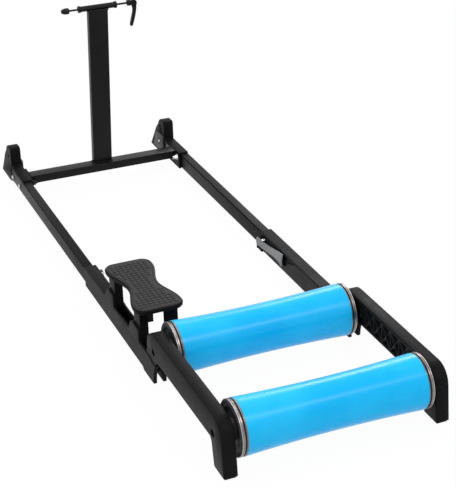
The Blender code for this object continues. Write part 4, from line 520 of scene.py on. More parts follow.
def inset_rings(outline: np.ndarray, insets: np.ndarray) -> np.ndarray:
    """Move an outline in by each distance.

    Each point moves along its mitre (m + n) / (1 + m·n), for the inward normals m and n of the two
    sides that meet there. The divisor is never under a fifth, so that sharp corners stay near.

    Args:
        outline: A closed outline, count by two.
        insets: The distances.

    Returns:
        One ring of points for each distance.
    """
    ahead = np.roll(outline, -1, axis=0) - outline
    ahead = ahead / lengths(ahead)
    area = np.sum(outline[:, 0] * np.roll(outline[:, 1], -1) - np.roll(outline[:, 0], -1) * outline[:, 1])
    normal = np.sign(area) * np.stack([-ahead[:, 1], ahead[:, 0]], axis=1)
    before = np.roll(normal, 1, axis=0)
    share = 1 + np.sum(normal * before, axis=1, keepdims=True)
    mitre = (normal + before) / np.maximum(share, 0.2)
    return outline[None] + np.asarray(insets)[:, None, None] * mitre[None]


def slab_points(outline: np.ndarray, low: float, high: float, axis: Axis, edge: float) -> np.ndarray:
    """Return the rings of a plate with rounded edges.

    The outline moves in by e(1 - sin a) at the height e(1 - cos a) from each face, for a from 0 to
    90 degrees and the edge radius e.

    Args:
        outline: The plate's closed outline in the axis's section.
        low: Where the plate starts along the axis.
        high: Where it ends.
        axis: The direction of the plate's thickness.
        edge: Radius of its edges.

    Returns:
        Rows of points, to be closed by a cap at both ends.
    """
    turn = np.linspace(0, np.pi / 2, 4)
    inset = edge * (1 - np.sin(turn))
    rise = edge * (1 - np.cos(turn))
    rings = inset_rings(np.asarray(outline, float), np.concatenate([inset, inset[::-1]]))
    heights = np.concatenate([low + rise, high - rise[::-1]])
    along = np.broadcast_to(heights[:, None], rings.shape[:2])
    return axis.place(along, rings[..., 0], rings[..., 1])


def slab(name: str, outline: np.ndarray, low: float, high: float, axis: Axis,
         edge: float) -> bpy.types.Object:
    """Return a plate with rounded edges as an object; see slab_points for its formula."""
    return surface(name, slab_points(outline, low, high, axis, edge), caps=True)


def rectangle(x0: float, x1: float, y0: float, y1: float) -> np.ndarray:
    """Return the four corners of a rectangle."""
    return np.array([(x0, y0), (x1, y0), (x1, y1), (x0, y1)])


def block(name: str, span: Span, edge: float) -> bpy.types.Object:
    """Return a box with rounded edges and corners."""
    (x0, y0, low), (x1, y1, high) = span.low, span.high
    return slab(name, rounded(rectangle(x0, x1, y0, y1), edge), low, high, Axis.Z, edge)


def pierced(name: str, outline: np.ndarray, hole: np.ndarray, radius: float, start: float, end: float,
            edge: float) -> bpy.types.Object:
    """Return a convex plate across X with a round hole in it.

    Seen from the hole's centre, the outline's distance at the angle v is the least d / (n·u) of the
    sides that look that way, for a side's outward normal n, its distance d and the direction u.

    Args:
        name: The object's name.
        outline: The plate's closed outline in Y and Z.
        hole: The hole's centre in Y and Z.
        radius: The hole's radius.
        start: The plate's back in X.
        end: Its face, where its edges and the hole's rim are rounded.
        edge: Radius of the edges.

    Returns:
        The plate.
    """
    side = np.roll(outline, -1, axis=0) - outline
    normal = np.stack([side[:, 1], -side[:, 0]], axis=1)
    normal /= lengths(normal)
    distance = np.sum(normal * (outline - hole), axis=1)
    normal, distance = normal * np.sign(distance)[:, None], np.abs(distance)
    angle = np.linspace(0, 2 * np.pi, 144, endpoint=False)
    look = np.stack([np.cos(angle), np.sin(angle)], axis=1)
    facing = look @ normal.T
    reach = np.min(np.where(facing > 1e-6, distance / np.maximum(facing, 1e-6), np.inf), axis=1)
    rim = np.full(len(angle), radius)
    step = edge * np.sign(end - start)
    rows = [(rim, start), (rim, end - step), (rim + edge, end), (reach - edge, end),
            (reach - 0.3 * edge, end - 0.3 * step), (reach, end - step), (reach, start), (rim, start)]
    return surface(name, np.stack([
        Axis.X.place(np.full(len(angle), x), hole[0] + away * look[:, 0], hole[1] + away * look[:, 1])
        for away, x in rows]))


# Sub-assemblies

@dataclass
class Roller:
    """One blue roller with its end caps and bearings, and the fixed axle that it turns on."""

    prefix: str
    waist_radius: float = 50.0 * MM
    end_round: float = 0.9 * MM
    wall: float = 4.0 * MM
    bore_mm: float = 5.3
    plug_mm: float = 10.0
    head_mm: float = 4.5
    knurl: Teeth = Teeth(beyond_mm=51.0, depth=0.006, count=90)

    def build(self, dresser: Dresser) -> None:
        """Build every piece of the roller."""
        self.tube(dresser)
        for name, side in SIDES:
            self.cap(dresser, name, side)
            self.bearing(dresser, name, side)
            self.screw(dresser, name, side)
            self.spacer(dresser, name)
        self.axle(dresser)

    def tube(self, dresser: Dresser) -> None:
        """Turn the blue sleeve: its radius is a parabola of x, smallest in the middle."""
        span = Span.of(self.prefix + "_roller_tube")
        half, end = span.size[0] / 2, span.size[2] / 2
        x = np.linspace(-half + self.end_round, half - self.end_round, 61)
        outer = np.stack([self.waist_radius + (end - self.waist_radius) * (x / half) ** 2, x], axis=1)
        turn = np.linspace(0, np.pi / 2, 5)[1:, None]
        lip = np.concatenate([end - self.end_round * (1 - np.cos(turn)),
                              half - self.end_round * (1 - np.sin(turn))], axis=1)
        bore = self.waist_radius - self.wall
        profile = np.concatenate([lip[::-1] * (1, -1), outer, lip, [(bore, half), (bore, -half)]])
        dresser.add(lathe(self.prefix + "_sleeve", profile, span.centre, Axis.X), Slot.BLUE,
                    self.prefix + "_roller_tube")

    def cap(self, dresser: Dresser, name: str, side: float) -> None:
        """Turn an end cap: a metal ring with a black band in its groove, a dark dish and a bright bead.

        The black band is painted shade in the groove, and the bright bead is a painted highlight along
        the ring's outer edge. The dish closes the ring's end, its rim is finely knurled and the bead
        lies round it. Heights are measured outwards from the sleeve's end.
        """
        node = f"{self.prefix}_roller_cap_{name}"
        span = Span.of(node)
        centre = np.array([Span.of(self.prefix + "_roller_tube").end(-side)[0], *span.centre[1:]])
        inner, face = -self.plug_mm, span.size[0] / MM - self.plug_mm
        ring = turned(node + "_ring", [
            (44.0, 1.8), (44.0, inner), (45.7, inner), (45.7, 0.2), (54.1, 0.2), (54.1, 2.4), (50.0, 2.4),
            (50.0, 5.6), (54.2, 5.6), (54.2, 9.2), (52.6, 10.4), (44.0, 10.4)],
            [0.3, 0.3, 0.3, 0.2, 0.9, 0.9, 0.3, 0.3, 0.5, 1.2, 0.9, 0.3], centre, side, segments=96)
        dresser.add(ring, Slot.CAP, node)
        # A black band in the groove: painted shade for the groove's dark hollow.
        band = turned(node + "_groove_shade_band", [(50.1, 2.6), (53.9, 2.6), (53.9, 5.4), (50.1, 5.4)],
                      [0.2, 0.6, 0.6, 0.2], centre, side, segments=96)
        dresser.add(band, Slot.RUBBER, beside=node)
        dish = turned(node + "_dish", [
            (13.3, face), (20.0, face), (21.5, face - 5.5), (39.0, face - 6.6), (43.6, face - 3.0),
            (44.6, face - 0.9), (51.2, face - 0.3), (53.0, face - 1.2), (53.0, 10.5), (43.7, 10.5),
            (43.7, 1.5), (10.8, 1.5), (10.8, 5.0), (13.3, 5.0)],
            [0.2, 0.7, 1.6, 3.0, 1.0, 0.6, 0.9, 0.9, 0.4, 0.3, 0.6, 0.3, 0.2, 0.2], centre, side,
            segments=360, teeth=self.knurl)
        dresser.add(dish, Slot.PLATE, beside=node)
        # A bright zinc bead at the ring's outer edge: a painted highlight along that edge.
        turn = np.linspace(0, 2 * np.pi, 12, endpoint=False)
        bead = np.array([53.5, 10.6]) * MM + 0.65 * MM * np.stack([np.cos(turn), np.sin(turn)], axis=1)
        dresser.add(lathe(node + "_highlight_bead", bead * (1, side), centre, Axis.X), Slot.ZINC, beside=node)

    def bearing(self, dresser: Dresser, name: str, side: float) -> None:
        """Turn a sealed bearing: two ground rings with a shield set back between them."""
        node = f"{self.prefix}_bearing_{name}"
        span = Span.of(node)
        half, _, outer = span.size / 2 / MM
        inner_ring, outer_ring, shield = self.bore_mm + 2.6, outer - 2.6, half - 0.5
        corners = [(self.bore_mm, -half), (outer, -half), (outer, half), (outer_ring, half),
                   (outer_ring, shield), (inner_ring, shield), (inner_ring, half), (self.bore_mm, half)]
        dresser.add(turned(node + "_turned", corners, 0.3, span.centre, side, segments=72), Slot.ZINC, node)

    def screw(self, dresser: Dresser, name: str, side: float) -> None:
        """Turn the screw that holds an axle end, with a hexagon socket in its head."""
        node = f"{self.prefix}_axle_screw_{name}"
        span = Span.of(node)
        length, _, across = span.size / MM
        head, under, floor = across / 2, length - self.head_mm, length - 2.2
        corners = [(0, 0), (2.8, 0), (2.8, under), (head, under), (head, length), (2.9, length),
                   (2.5, length - 0.4), (2.5, floor), (0, floor)]
        dresser.add(turned(node + "_turned", corners, 0.5, span.end(side), side, flats=(2.0, 2.7)),
                    Slot.ZINC, node)

    def spacer(self, dresser: Dresser, name: str) -> None:
        """Turn the plain ring between a bearing and the frame."""
        node = f"{self.prefix}_axle_spacer_{name}"
        span = Span.of(node)
        half, _, outer = span.size / 2 / MM
        corners = [(self.bore_mm, -half), (outer, -half), (outer, half), (self.bore_mm, half)]
        dresser.add(turned(node + "_turned", corners, 0.4, span.centre, segments=64), Slot.ZINC, node)

    def axle(self, dresser: Dresser) -> None:
        """Turn the axle, with a blind hole in each end for its screw."""
        node = self.prefix + "_axle"
        span = Span.of(node)
        half, _, radius = span.size / 2 / MM
        hole, deep = 3.1, half - 12.0
        corners = [(0, -deep), (hole, -deep), (hole, -half), (radius, -half), (radius, half), (hole, half),
                   (hole, deep), (0, deep)]
        dresser.add(turned(node + "_turned", corners, 0.5, span.centre), Slot.ZINC, node)


@dataclass
class Step:
    """The bone-shaped step: a domed top with raised tiles, a skirt and four legs of angle section."""

    end_half_width: float = 52.0 * MM
    waist_half_width: float = 33.5 * MM
    corner: float = 24.0 * MM
    thickness: float = 11.0 * MM
    edge: float = 3.2 * MM
    border: float = 8.5 * MM
    tile_pitch: float = 10.2 * MM
    tile_size: float = 8.4 * MM
    tile_corner: float = 1.8 * MM
    tile_height: float = 1.3 * MM
    tile_columns: int = 12
    tile_rows: int = 26
    skin: float = 4.0 * MM
    skirt: float = 3.6 * MM
    rib: float = 2.6 * MM
    bays: int = 6
    deck: float = 1.1 * MM
    rear_legs: float = -94.0 * MM
    front_legs: float = 67.0 * MM
    channel_foot: float = 52.3 * MM

    def __post_init__(self) -> None:
        """Take the step's place from its solid."""
        self.span = Span.of("step")
        self.half_length = self.span.size[1] / 2

    def half_width(self, y: np.ndarray) -> np.ndarray:
        """Return the half width at a distance from the middle.

        It rises from the waist by s²(3 - 2s), for s = 1.35|y| / half length up to one, and the
        corners take away c(1 - √(1 - a²)) over the last stretch c, for a from 0 to 1.
        """
        share = np.minimum(1.0, np.abs(y) / self.half_length * 1.35)
        flare = self.end_half_width - self.waist_half_width
        width = self.waist_half_width + flare * share ** 2 * (3 - 2 * share)
        along = np.clip((np.abs(y) - (self.half_length - self.corner)) / self.corner, 0, 1)
        return width - self.corner * (1 - np.sqrt(1 - along ** 2))

    def outline(self) -> np.ndarray:
        """Return the closed outline about the step's middle, with close points at the corners."""
        straight = np.linspace(0, self.half_length - self.corner, 40)
        bend = self.half_length - self.corner * (1 - np.sin(np.linspace(0, np.pi / 2, 17)[1:]))
        quarter = np.concatenate([straight, bend])
        y = np.concatenate([-quarter[:0:-1], quarter])
        end = self.half_width(np.array([self.half_length]))[0]
        flat = np.linspace(end, -end, 14)[1:-1]
        right = np.stack([self.half_width(y), y], axis=1)
        far = np.stack([flat, np.full(len(flat), self.half_length)], axis=1)
        return np.concatenate([right, far, -right, -far])

    def build(self, dresser: Dresser) -> None:
        """Build the top, its tiles, the ribs under it and the legs."""
        middle = self.span.centre[:2]
        top = self.span.high[2] - self.tile_height * 0.8
        base = self.span.high[2] - self.thickness
        ceiling = self.span.high[2] - self.skin
        self.shell(dresser, middle, top, base, ceiling)
        self.tiles(dresser, top)
        self.ribs(dresser, middle, base, ceiling)
        self.legs(dresser, middle, ceiling)

    def shell(self, dresser: Dresser, middle: np.ndarray, top: float, base: float, ceiling: float) -> None:
        """Draw the moulding and its deck in rings of the outline, each moved in by an inset at a height.

        The moulding's rings start at the middle of the ceiling, run out to the skirt's inner wall,
        down to its foot, up its outer wall and round the top edge by e(1 - sin a) and e(1 - cos a).
        The deck is a thin plate on it, with a groove inside its border.
        """
        turn = np.linspace(0, np.pi / 2, 7)
        over = self.edge * (1 - np.sin(turn))[::-1]
        rise = self.edge * (1 - np.cos(turn))[::-1]
        inner = self.skirt / MM
        foot = np.array([inner, inner, inner - 0.4, 1.2, 0.6, 0.9, 0.6]) * MM
        foot_z = np.array([(ceiling - base) / MM, 0.4, 0.0, 0.0, 1.0, 3.4, 4.8]) * MM
        crown = top - self.deck
        dresser.add(self.dome("step_top", middle, ceiling, np.concatenate([foot, over]),
                              np.concatenate([base + foot_z, crown - rise])), Slot.NYLON, "step")
        inset = np.array([3.0, 2.4, 2.4, 3.2, 4.6, 5.2, 6.0, 6.6]) * MM
        level = np.array([-0.3, 0.0, 0.6, 1.0, 1.0, 0.1, 0.1, 1.0]) * self.deck
        dresser.add(self.dome("step_deck", middle, crown - 0.3 * self.deck, inset, crown + level), Slot.NYLON,
                    beside="step", worn=True)

    def dome(self, name: str, middle: np.ndarray, floor: float, insets: np.ndarray,
             heights: np.ndarray) -> bpy.types.Object:
        """Close rings of the outline over its spine.

        Args:
            name: The object's name.
            middle: The step's middle in plan.
            floor: Height of the closed underside.
            insets: How far each ring is moved in.
            heights: The height of each ring.

        Returns:
            The closed object: from the spine at the floor over the rings to the spine at the top.
        """
        outline = self.outline()
        rings = inset_rings(outline, insets)
        reach = self.half_length - self.corner
        spine = np.stack([np.zeros(len(outline)), np.clip(outline[:, 1], -reach, reach)], axis=1)
        share = np.linspace(0, 1, 8)[1:, None, None]
        rows = np.concatenate([spine[None], rings, rings[-1][None] * (1 - share) + spine[None] * share])
        levels = np.concatenate([[floor], heights, np.full(len(share), heights[-1])])
        return surface(name, Axis.Z.place(np.broadcast_to(levels[:, None], rows.shape[:2]),
                                          rows[..., 0] + middle[0], rows[..., 1] + middle[1]))

    def ribs(self, dresser: Dresser, middle: np.ndarray, base: float, ceiling: float) -> None:
        """Set the ribs that stiffen the top from below: one along it and the rest across it."""
        bays = np.linspace(-self.half_length + self.skirt, self.half_length - self.skirt, self.bays + 1)[1:-1]
        half = self.rib / 2
        reach = self.half_length - self.skirt + 0.3 * MM
        boxes = [(-half, half, -reach, reach)]
        boxes += [(-wide, wide, y - half, y + half)
                  for y, wide in zip(bays, self.half_width(bays) - self.skirt + 0.3 * MM)]
        plates = [slab_points(rounded(rectangle(*box) + middle, 0.2 * MM), base + 1.0 * MM,
                              ceiling + 0.5 * MM, Axis.Z, 0.3 * MM) for box in boxes]
        dresser.add(surface("step_ribs", np.stack(plates), caps=True), Slot.NYLON, beside="step")

    def tiles(self, dresser: Dresser, top: float) -> None:
        """Lay the tread: a pillow on each place of a square grid that lies inside the border.

        Each pillow is a rounded square whose rings shrink from its foot to its crown.
        """
        x, y = ((np.arange(count) - (count - 1) / 2) * self.tile_pitch
                for count in (self.tile_columns, self.tile_rows))
        grid = np.stack(np.meshgrid(x, y), axis=-1).reshape(-1, 2)
        reach = self.tile_size / 2
        outer_y = np.abs(grid[:, 1]) + reach
        inside = outer_y < self.half_length - self.border
        near = np.minimum(outer_y, self.half_length)
        room = np.minimum(self.half_width(near), self.half_width(np.abs(np.abs(grid[:, 1]) - reach)))
        inside &= np.abs(grid[:, 0]) + reach < room - self.border * 0.9
        centres = grid[inside] + self.span.centre[:2]
        square = rounded(rectangle(-reach, reach, -reach, reach), self.tile_corner, steps=2)
        shrink = np.array([1.0, 0.97, 0.86, 0.70, 0.0])
        lift = np.array([-0.3, 0.45, 0.85, 1.0, 1.05]) * self.tile_height
        rings = shrink[:, None, None] * square[None]
        flat = centres[:, None, None] + rings[None]
        height = np.broadcast_to((top + lift)[None, :, None], flat.shape[:3])
        points = np.concatenate([flat, height[..., None]], axis=-1)
        dresser.add(surface("step_tread", points), Slot.NYLON, beside="step", worn=True)

    def legs(self, dresser: Dresser, middle: np.ndarray, ceiling: float) -> None:
        """Stand the four legs under the top: channels on the left, angles on the right."""
        channel = np.array([(-41.3, 0), (-23.3, 0), (-23.3, 4.0), (-37.3, 4.0), (-37.3, 33.2), (-23.3, 33.2),
                            (-23.3, 37.2), (-41.3, 37.2)]) * MM
        angle = np.array([(40.5, 0), (40.5, 37.2), (36.5, 37.2), (36.5, 4.0), (10.5, 4.0), (10.5, 0)]) * MM
        kinds = (("left", channel, self.channel_foot), ("right", angle, self.span.low[2]))
        for place, start in (("rear", self.rear_legs), ("front", self.front_legs)):
            for name, section, low in kinds:
                moved = section + middle + (0.0, start)
                leg = slab(f"step_leg_{place}_{name}", rounded(moved, 0.8 * MM), low,
                           ceiling + 0.5 * MM, Axis.Z, 0.6 * MM)
                dresser.add(leg, Slot.NYLON, beside="step")


@dataclass
class Latch:
    """One cam latch: its silver-grey lever, bracket, pin, shoe and bright adjuster."""

    side_name: str
    side: float
    thickness: float = 3.4 * MM
    tip_behind: float = 3.6 * MM
    flare_past: float = 3.0 * MM
    tip_length_mm: float = 3.0
    end_length_mm: float = 2.0
    end_drop: float = 1.6 * MM
    hollow_depth: float = 5.5 * MM
    hollow_start_mm: float = 110.0
    hollow_length_mm: float = 18.0
    barrel_radius_mm: float = 4.2
    bracket_top: float = 40.0 * MM
    tongue_low: float = 14.6 * MM
    tongue_high: float = 20.6 * MM

    def build(self, dresser: Dresser) -> None:
        """Build the latch's pieces."""
        name = self.side_name
        self.pin = Span.of("latch_pin_" + name).centre
        self.lever(dresser)
        self.barrel(dresser)
        self.bracket(dresser)
        self.adjuster(dresser)
        shoe = block("clamp_shoe_block_" + name, Span.of("clamp_shoe_" + name), 0.4 * MM)
        dresser.add(shoe, Slot.NYLON, "clamp_shoe_" + name)
        # The pin is painted black, which paints the shade it sits in under the barrel.
        pin = turned("latch_pin_turned_" + name, [(0, 14.0), (2.0, 14.0), (2.0, 39.2), (0, 39.2)], 0.6,
                     self.pin * (1, 1, 0), axis=Axis.Z, segments=40)
        dresser.add(pin, Slot.PAINT, "latch_pin_" + name)

    def bracket(self, dresser: Dresser) -> None:
        """Cut the bracket: a block on the sleeve behind the lever and a tongue under its barrel."""
        node = "latch_bracket_" + self.side_name
        span = Span.of(node)
        root, rear, front = span.end(-self.side)[0], span.low[1], span.high[1]
        axis_x, axis_y = self.pin[:2]
        face = axis_x + self.side * (self.barrel_radius_mm + 0.6) * MM
        corners = np.array([(root, rear), (root, front), (face, front - 1.0 * MM), (face, rear + 1.0 * MM)])
        dresser.add(slab(node + "_block", rounded(corners, 0.6 * MM), span.low[2], self.bracket_top, Axis.Z,
                         0.6 * MM), Slot.NYLON, node)
        nose, half = axis_x - self.side * 2.8 * MM, 3.2 * MM
        corners = np.array([(root, rear), (root, front), (nose, axis_y + half), (nose, axis_y - half)])
        tongue = slab(node + "_tongue", rounded(corners, np.array([0.5, 0.5, 3.0, 3.0]) * MM),
                      self.tongue_low, self.tongue_high, Axis.Z, 0.6 * MM)
        dresser.add(tongue, Slot.NYLON, beside=node)

    def adjuster(self, dresser: Dresser) -> None:
        """Turn the bright adjuster: a flat disc that faces up, on a stem from the sleeve."""
        node = "latch_adjuster_" + self.side_name
        span = Span.of(node)
        reach, length = 4.6, 4.0
        root = span.end(-self.side) - (0, 0, 2.0 * MM)
        disc = turned(node + "_disc", [(0, -0.8), (4.8, -0.8), (4.8, 0.8), (2.2, 0.8), (1.8, 0.3), (0, 0.3)],
                      0.4, root - (self.side * reach * MM, 0, 0), axis=Axis.Z,
                      teeth=Teeth(beyond_mm=4.0, depth=0.02, count=16, sunk=0.0))
        dresser.add(disc, Slot.ZINC, node)
        stem = turned(node + "_stem", [(0, 0), (1.3, 0), (1.3, length), (0, length)], 0.2,
                      root - (0, 0, 1.6 * MM), -self.side, segments=24)
        dresser.add(stem, Slot.ZINC, beside=node)

    def lever(self, dresser: Dresser) -> None:
        """Sweep the blade from its round front tip to its broad flared end.

        Its edges and its centre line run through points at distances behind the tip, smoothed over
        five stations. At each station the section is the superellipse (t·c, h·s), for half the
        thickness t, half the height h, and the cosine c and the sine s with their sizes raised to
        the power of two sevenths. Each end closes by √(1 - (1 - d)²), for d from 0 to 1 along it,
        and the flared end is hollowed by moving its lower part forward.
        """
        node = "latch_lever_" + self.side_name
        span = Span.of(node)
        rear, front = span.low[1] - self.flare_past, span.high[1] - self.tip_behind
        plane = Span.of("rear_roller_tube").centre[0]
        y = rear + (front - rear) * np.linspace(0, 1, 110)
        back = (front - y) / MM
        length = back[0]
        away = np.abs(self.pin[0] - plane) / MM
        upper = ([0, 4, 8, 15, 21, 31, 43, 58, 81, 104, 127, length],
                 [34.0, 39.4, 42.3, 43.1, 40.6, 39.0, 39.2, 40.4, 44.3, 48.1, 51.4, 51.7])
        lower = ([0, 3.5, 10.5, 21, 41, 56, 70, 88, 104, 118, 127, length],
                 [29.0, 25.2, 23.0, 21.0, 20.6, 22.2, 23.0, 24.4, 24.0, 21.2, 19.0, 18.0])
        plan = ([0, 5, 21, 42, 70, 104, length],
                away + np.array([-3.0, -2.6, 1.6, 4.9, 5.9, 5.9, 5.7]))
        kernel = np.ones(5) / 5
        top, low, x = (np.convolve(np.pad(np.interp(back, *line) * MM, 2, mode="edge"), kernel, mode="valid")
                       for line in (upper, lower, plan))
        tip, end = (np.sqrt(1 - (1 - np.clip(gap, 0, 1)) ** 2)
                    for gap in (back / self.tip_length_mm, (length - back) / self.end_length_mm))
        close = tip * end
        angle = np.linspace(0, 2 * np.pi, 56, endpoint=False)
        across, upright = (np.sign(wave) * np.abs(wave) ** (2 / 7) for wave in (np.cos(angle), np.sin(angle)))
        thin = np.interp(back, [0, 14, 30], [0.68, 0.76, 1.0])
        half_t = self.thickness / 2 * thin * np.maximum(close, 0.02)
        half_h = (top - low) / 2 - (1 - close) * self.end_drop
        px = plane + self.side * (x[:, None] + half_t[:, None] * across)
        pz = ((top + low) / 2)[:, None] + half_h[:, None] * upright
        flared = np.clip((back - self.hollow_start_mm) / self.hollow_length_mm, 0, 1)[:, None]
        hollow = self.hollow_depth * flared ** 2 * np.clip(1 - upright, 0, 1)
        points = np.stack([px, y[:, None] + hollow, pz], axis=-1)
        dresser.add(surface(node + "_blade", points, caps=True), Slot.GREY, node)

    def barrel(self, dresser: Dresser) -> None:
        """Turn the lever's barrel, which swells in the middle, round the pin."""
        node = "latch_lever_" + self.side_name
        corners = [(0, 39.8), (2.3, 39.8), (2.3, 21.0), (2.8, 21.0), (self.barrel_radius_mm, 31.0),
                   (3.6, 41.0), (0, 42.6)]
        barrel = turned(node + "_barrel", corners, [0, 0.3, 0.3, 0.4, 6.0, 3.0, 0],
                        self.pin * (1, 1, 0), axis=Axis.Z, segments=56)
        dresser.add(barrel, Slot.GREY, beside=node)


@dataclass
class FrontFrame:
    """The sliding front frame: rails, feet, plates, bolts, crossbar, post and fork tube."""

    rail_corner: float = 1.0 * MM
    groove: float = 5.0 * MM
    groove_height: float = 3.0 * MM
    groove_drop: float = 1.0 * MM
    tube_radius_mm: float = 7.0
    tube_bore_mm: float = 3.2
    collar_mm: float = 6.0
    bar_depth: float = 35.0 * MM
    bar_height: float = 21.0 * MM
    flange: float = 3.5 * MM
    flange_cut: float = 6.0 * MM
    post_width: float = 50.0 * MM
    post_depth: float = 20.2 * MM
    post_ahead: float = 20.0 * MM
    weld: float = 2.3 * MM
    plate_hole: float = 7.8 * MM
    hole_ahead: float = 29.5 * MM
    hole_height: float = 40.0 * MM
    plate_thickness: float = 4.0 * MM

    def build(self, dresser: Dresser) -> None:
        """Build every piece of the front frame."""
        for name, side in SIDES:
            self.rail(dresser, name)
            dresser.keep("rail_glide_" + name, Slot.NYLON)
            dresser.soften("front_foot_" + name, Slot.NYLON, 0.6 * MM)
            dresser.add(block("front_foot_pad_sole_" + name, Span.of("front_foot_pad_" + name), 0.8 * MM),
                        Slot.RUBBER, "front_foot_pad_" + name)
            self.plate(dresser, name, side)
            self.fasteners(dresser, name, side)
        self.crossbar(dresser)
        self.post(dresser)
        self.tube(dresser)

    def crossbar(self, dresser: Dresser) -> None:
        """Draw the crossbar's tube, and cut the flange on each of its ends."""
        (left, rear, low), (right, front, top) = Span.of("crossbar").low, Span.of("crossbar").high
        cut, middle = self.flange_cut, self.flange / 2
        section = rectangle(rear, rear + self.bar_depth, top - self.bar_height, top)
        tube = slab("crossbar_tube", rounded(section, 1.6 * MM), left + middle, right - middle, Axis.X,
                    0.1 * MM)
        dresser.add(tube, Slot.PAINT, "crossbar")
        plate = np.array([(rear, low), (front - cut, low), (front, low + cut), (front, top - cut),
                          (front - cut, top), (rear, top)])
        flanges = [slab_points(rounded(plate, 0.6 * MM), start, start + self.flange, Axis.X, 0.5 * MM)
                   for start in (left, right - self.flange)]
        dresser.add(surface("crossbar_flanges", np.stack(flanges), caps=True), Slot.PAINT, beside="crossbar")

    def post(self, dresser: Dresser) -> None:
        """Draw the leaning post with a weld bead round its foot and one under the fork tube.

        Its section stays level, and at the height z it has moved along Y by (z - base)·lean, for the
        slope of the line from the middle of the post's foot to the middle of the fork tube.
        """
        bar, tube = Span.of("crossbar"), Span.of("fork_tube")
        base = np.array([tube.centre[0], bar.low[1] + self.post_ahead, bar.high[2]])
        lean = (tube.centre[1] - base[1]) / (tube.centre[2] - base[2])
        wide, deep = self.post_width / 2, self.post_depth / 2
        outline = rounded(rectangle(-wide, wide, -deep, deep), 2.5 * MM) + base[:2]
        points = slab_points(outline, base[2] + 0.3 * MM, tube.low[2] + 3.6 * MM, Axis.Z, 0.4 * MM)
        points[..., 1] += (points[..., 2] - base[2]) * lean
        dresser.add(surface("fork_post_tube", points, caps=True), Slot.PAINT, "fork_post")
        for name, height in (("foot", base[2] + 0.5 * MM), ("top", tube.low[2] + 2.4 * MM)):
            bead = self.bead("fork_post_weld_" + name, outline + (0, (height - base[2]) * lean), height)
            dresser.add(bead, Slot.PAINT, beside="fork_post")

    def bead(self, name: str, outline: np.ndarray, height: float) -> bpy.types.Object:
        """Lay a weld bead round a closed outline.

        At the angle a its section has moved out by r cos a and up by r sin a, and r swells and
        shrinks by an eighth along the bead, once in five points.

        Args:
            name: The object's name.
            outline: The closed outline in plan.
            height: Where the bead lies.

        Returns:
            The closed bead.
        """
        count = 280
        closed = np.concatenate([outline, outline[:1]])
        length = np.concatenate([[0.0], np.cumsum(np.linalg.norm(np.diff(closed, axis=0), axis=1))])
        along = np.linspace(0, length[-1], count, endpoint=False)
        even = np.stack([np.interp(along, length, closed[:, side]) for side in (0, 1)], axis=1)
        inward = inset_rings(even, np.array([1.0]))[0] - even
        radius = self.weld * (1 + 0.125 * np.cos(2 * np.pi * np.arange(count) / 5))
        angle = np.linspace(0, 2 * np.pi, 13)[:, None]
        flat = even[None] - (radius * np.cos(angle))[..., None] * inward[None]
        return surface(name, Axis.Z.place(height + radius * np.sin(angle), flat[..., 0], flat[..., 1]))

    def rail(self, dresser: Dresser, name: str) -> None:
        """Draw the rail: a rounded section with a fine groove near the top of each side."""
        node = "rail_" + name
        span = Span.of(node)
        half_w, _, half_h = span.size / 2
        top = half_h - self.groove_drop
        wall = half_w - self.groove
        below = top - self.groove_height
        right = [(half_w, -half_h), (half_w, below), (wall, below), (wall, top), (half_w, top),
                 (half_w, half_h)]
        corners = np.array(right + [(-x, z) for x, z in right[::-1]])
        radii = np.array([1.0, 0.15, 0.1, 0.1, 0.15, 1.0] * 2) * self.rail_corner
        outline = rounded(corners, radii) + span.centre[[0, 2]]
        rail = slab(node + "_extrusion", outline, span.low[1], span.high[1], Axis.Y, 0.1 * MM)
        dresser.add(rail, Slot.RAIL, node)

    def plate(self, dresser: Dresser, name: str, side: float) -> None:
        """Cut the plate on a foot's inner side, with a bolt in its sunk hole."""
        node = "foot_plate_" + name
        span = Span.of(node)
        (_, rear, low), (_, front, high) = span.low, span.high
        corners = np.array([(rear, low), (front, low), (front - 16 * MM, high - 8 * MM),
                            (front - 28 * MM, high), (rear, high)])
        face = span.end(-side)[0]
        hole = np.array([rear + self.hole_ahead, self.hole_height])
        plate = pierced(node + "_sheet", rounded(corners, 3.0 * MM), hole, self.plate_hole, face,
                        face - side * self.plate_thickness, 0.6 * MM)
        dresser.add(plate, Slot.PLATE, node)
        bolt = turned(node + "_bolt", [(0, 0), (4.8, 0), (4.8, -4.2), (4.0, -5.0), (0, -5.2)], 0.5,
                      np.array([face, *hole]), side, flats=(3.6, 5.0))
        dresser.add(bolt, Slot.ZINC, beside=node)

    def fasteners(self, dresser: Dresser, name: str, side: float) -> None:
        """Turn the rail's two bolts, with a hexagon socket in each head, and the lock nut.

        The right lock nut is bright zinc and the left one is painted black.
        """
        for place in ("rear", "front"):
            node = f"rail_bolt_{place}_{name}"
            span = Span.of(node)
            length, _, across = span.size / MM
            head, floor = across / 2, length - 1.6
            corners = [(0, 0), (3.0, 0), (3.0, length - 2.6), (head, length - 2.6), (head, length - 1.6),
                       (head - 2.4, length), (2.2, length), (2.0, floor), (0, floor)]
            bolt = turned(node + "_turned", corners, 0.4, span.end(side), side, flats=(1.0, 2.25))
            dresser.add(bolt, Slot.ZINC, node)
        node = "lock_nut_" + name
        corners = [(0, 0), (8.2, 0), (8.2, 2.0), (6.2, 2.0), (6.2, 8.0), (3.6, 8.0), (3.6, 13.0), (0, 13.0)]
        nut = turned(node + "_turned", corners, 0.5, Span.of(node).end(-side), -side, segments=60,
                     flats=(5.4, 6.5))
        dresser.add(nut, Slot.ZINC if side > 0 else Slot.PAINT, node)

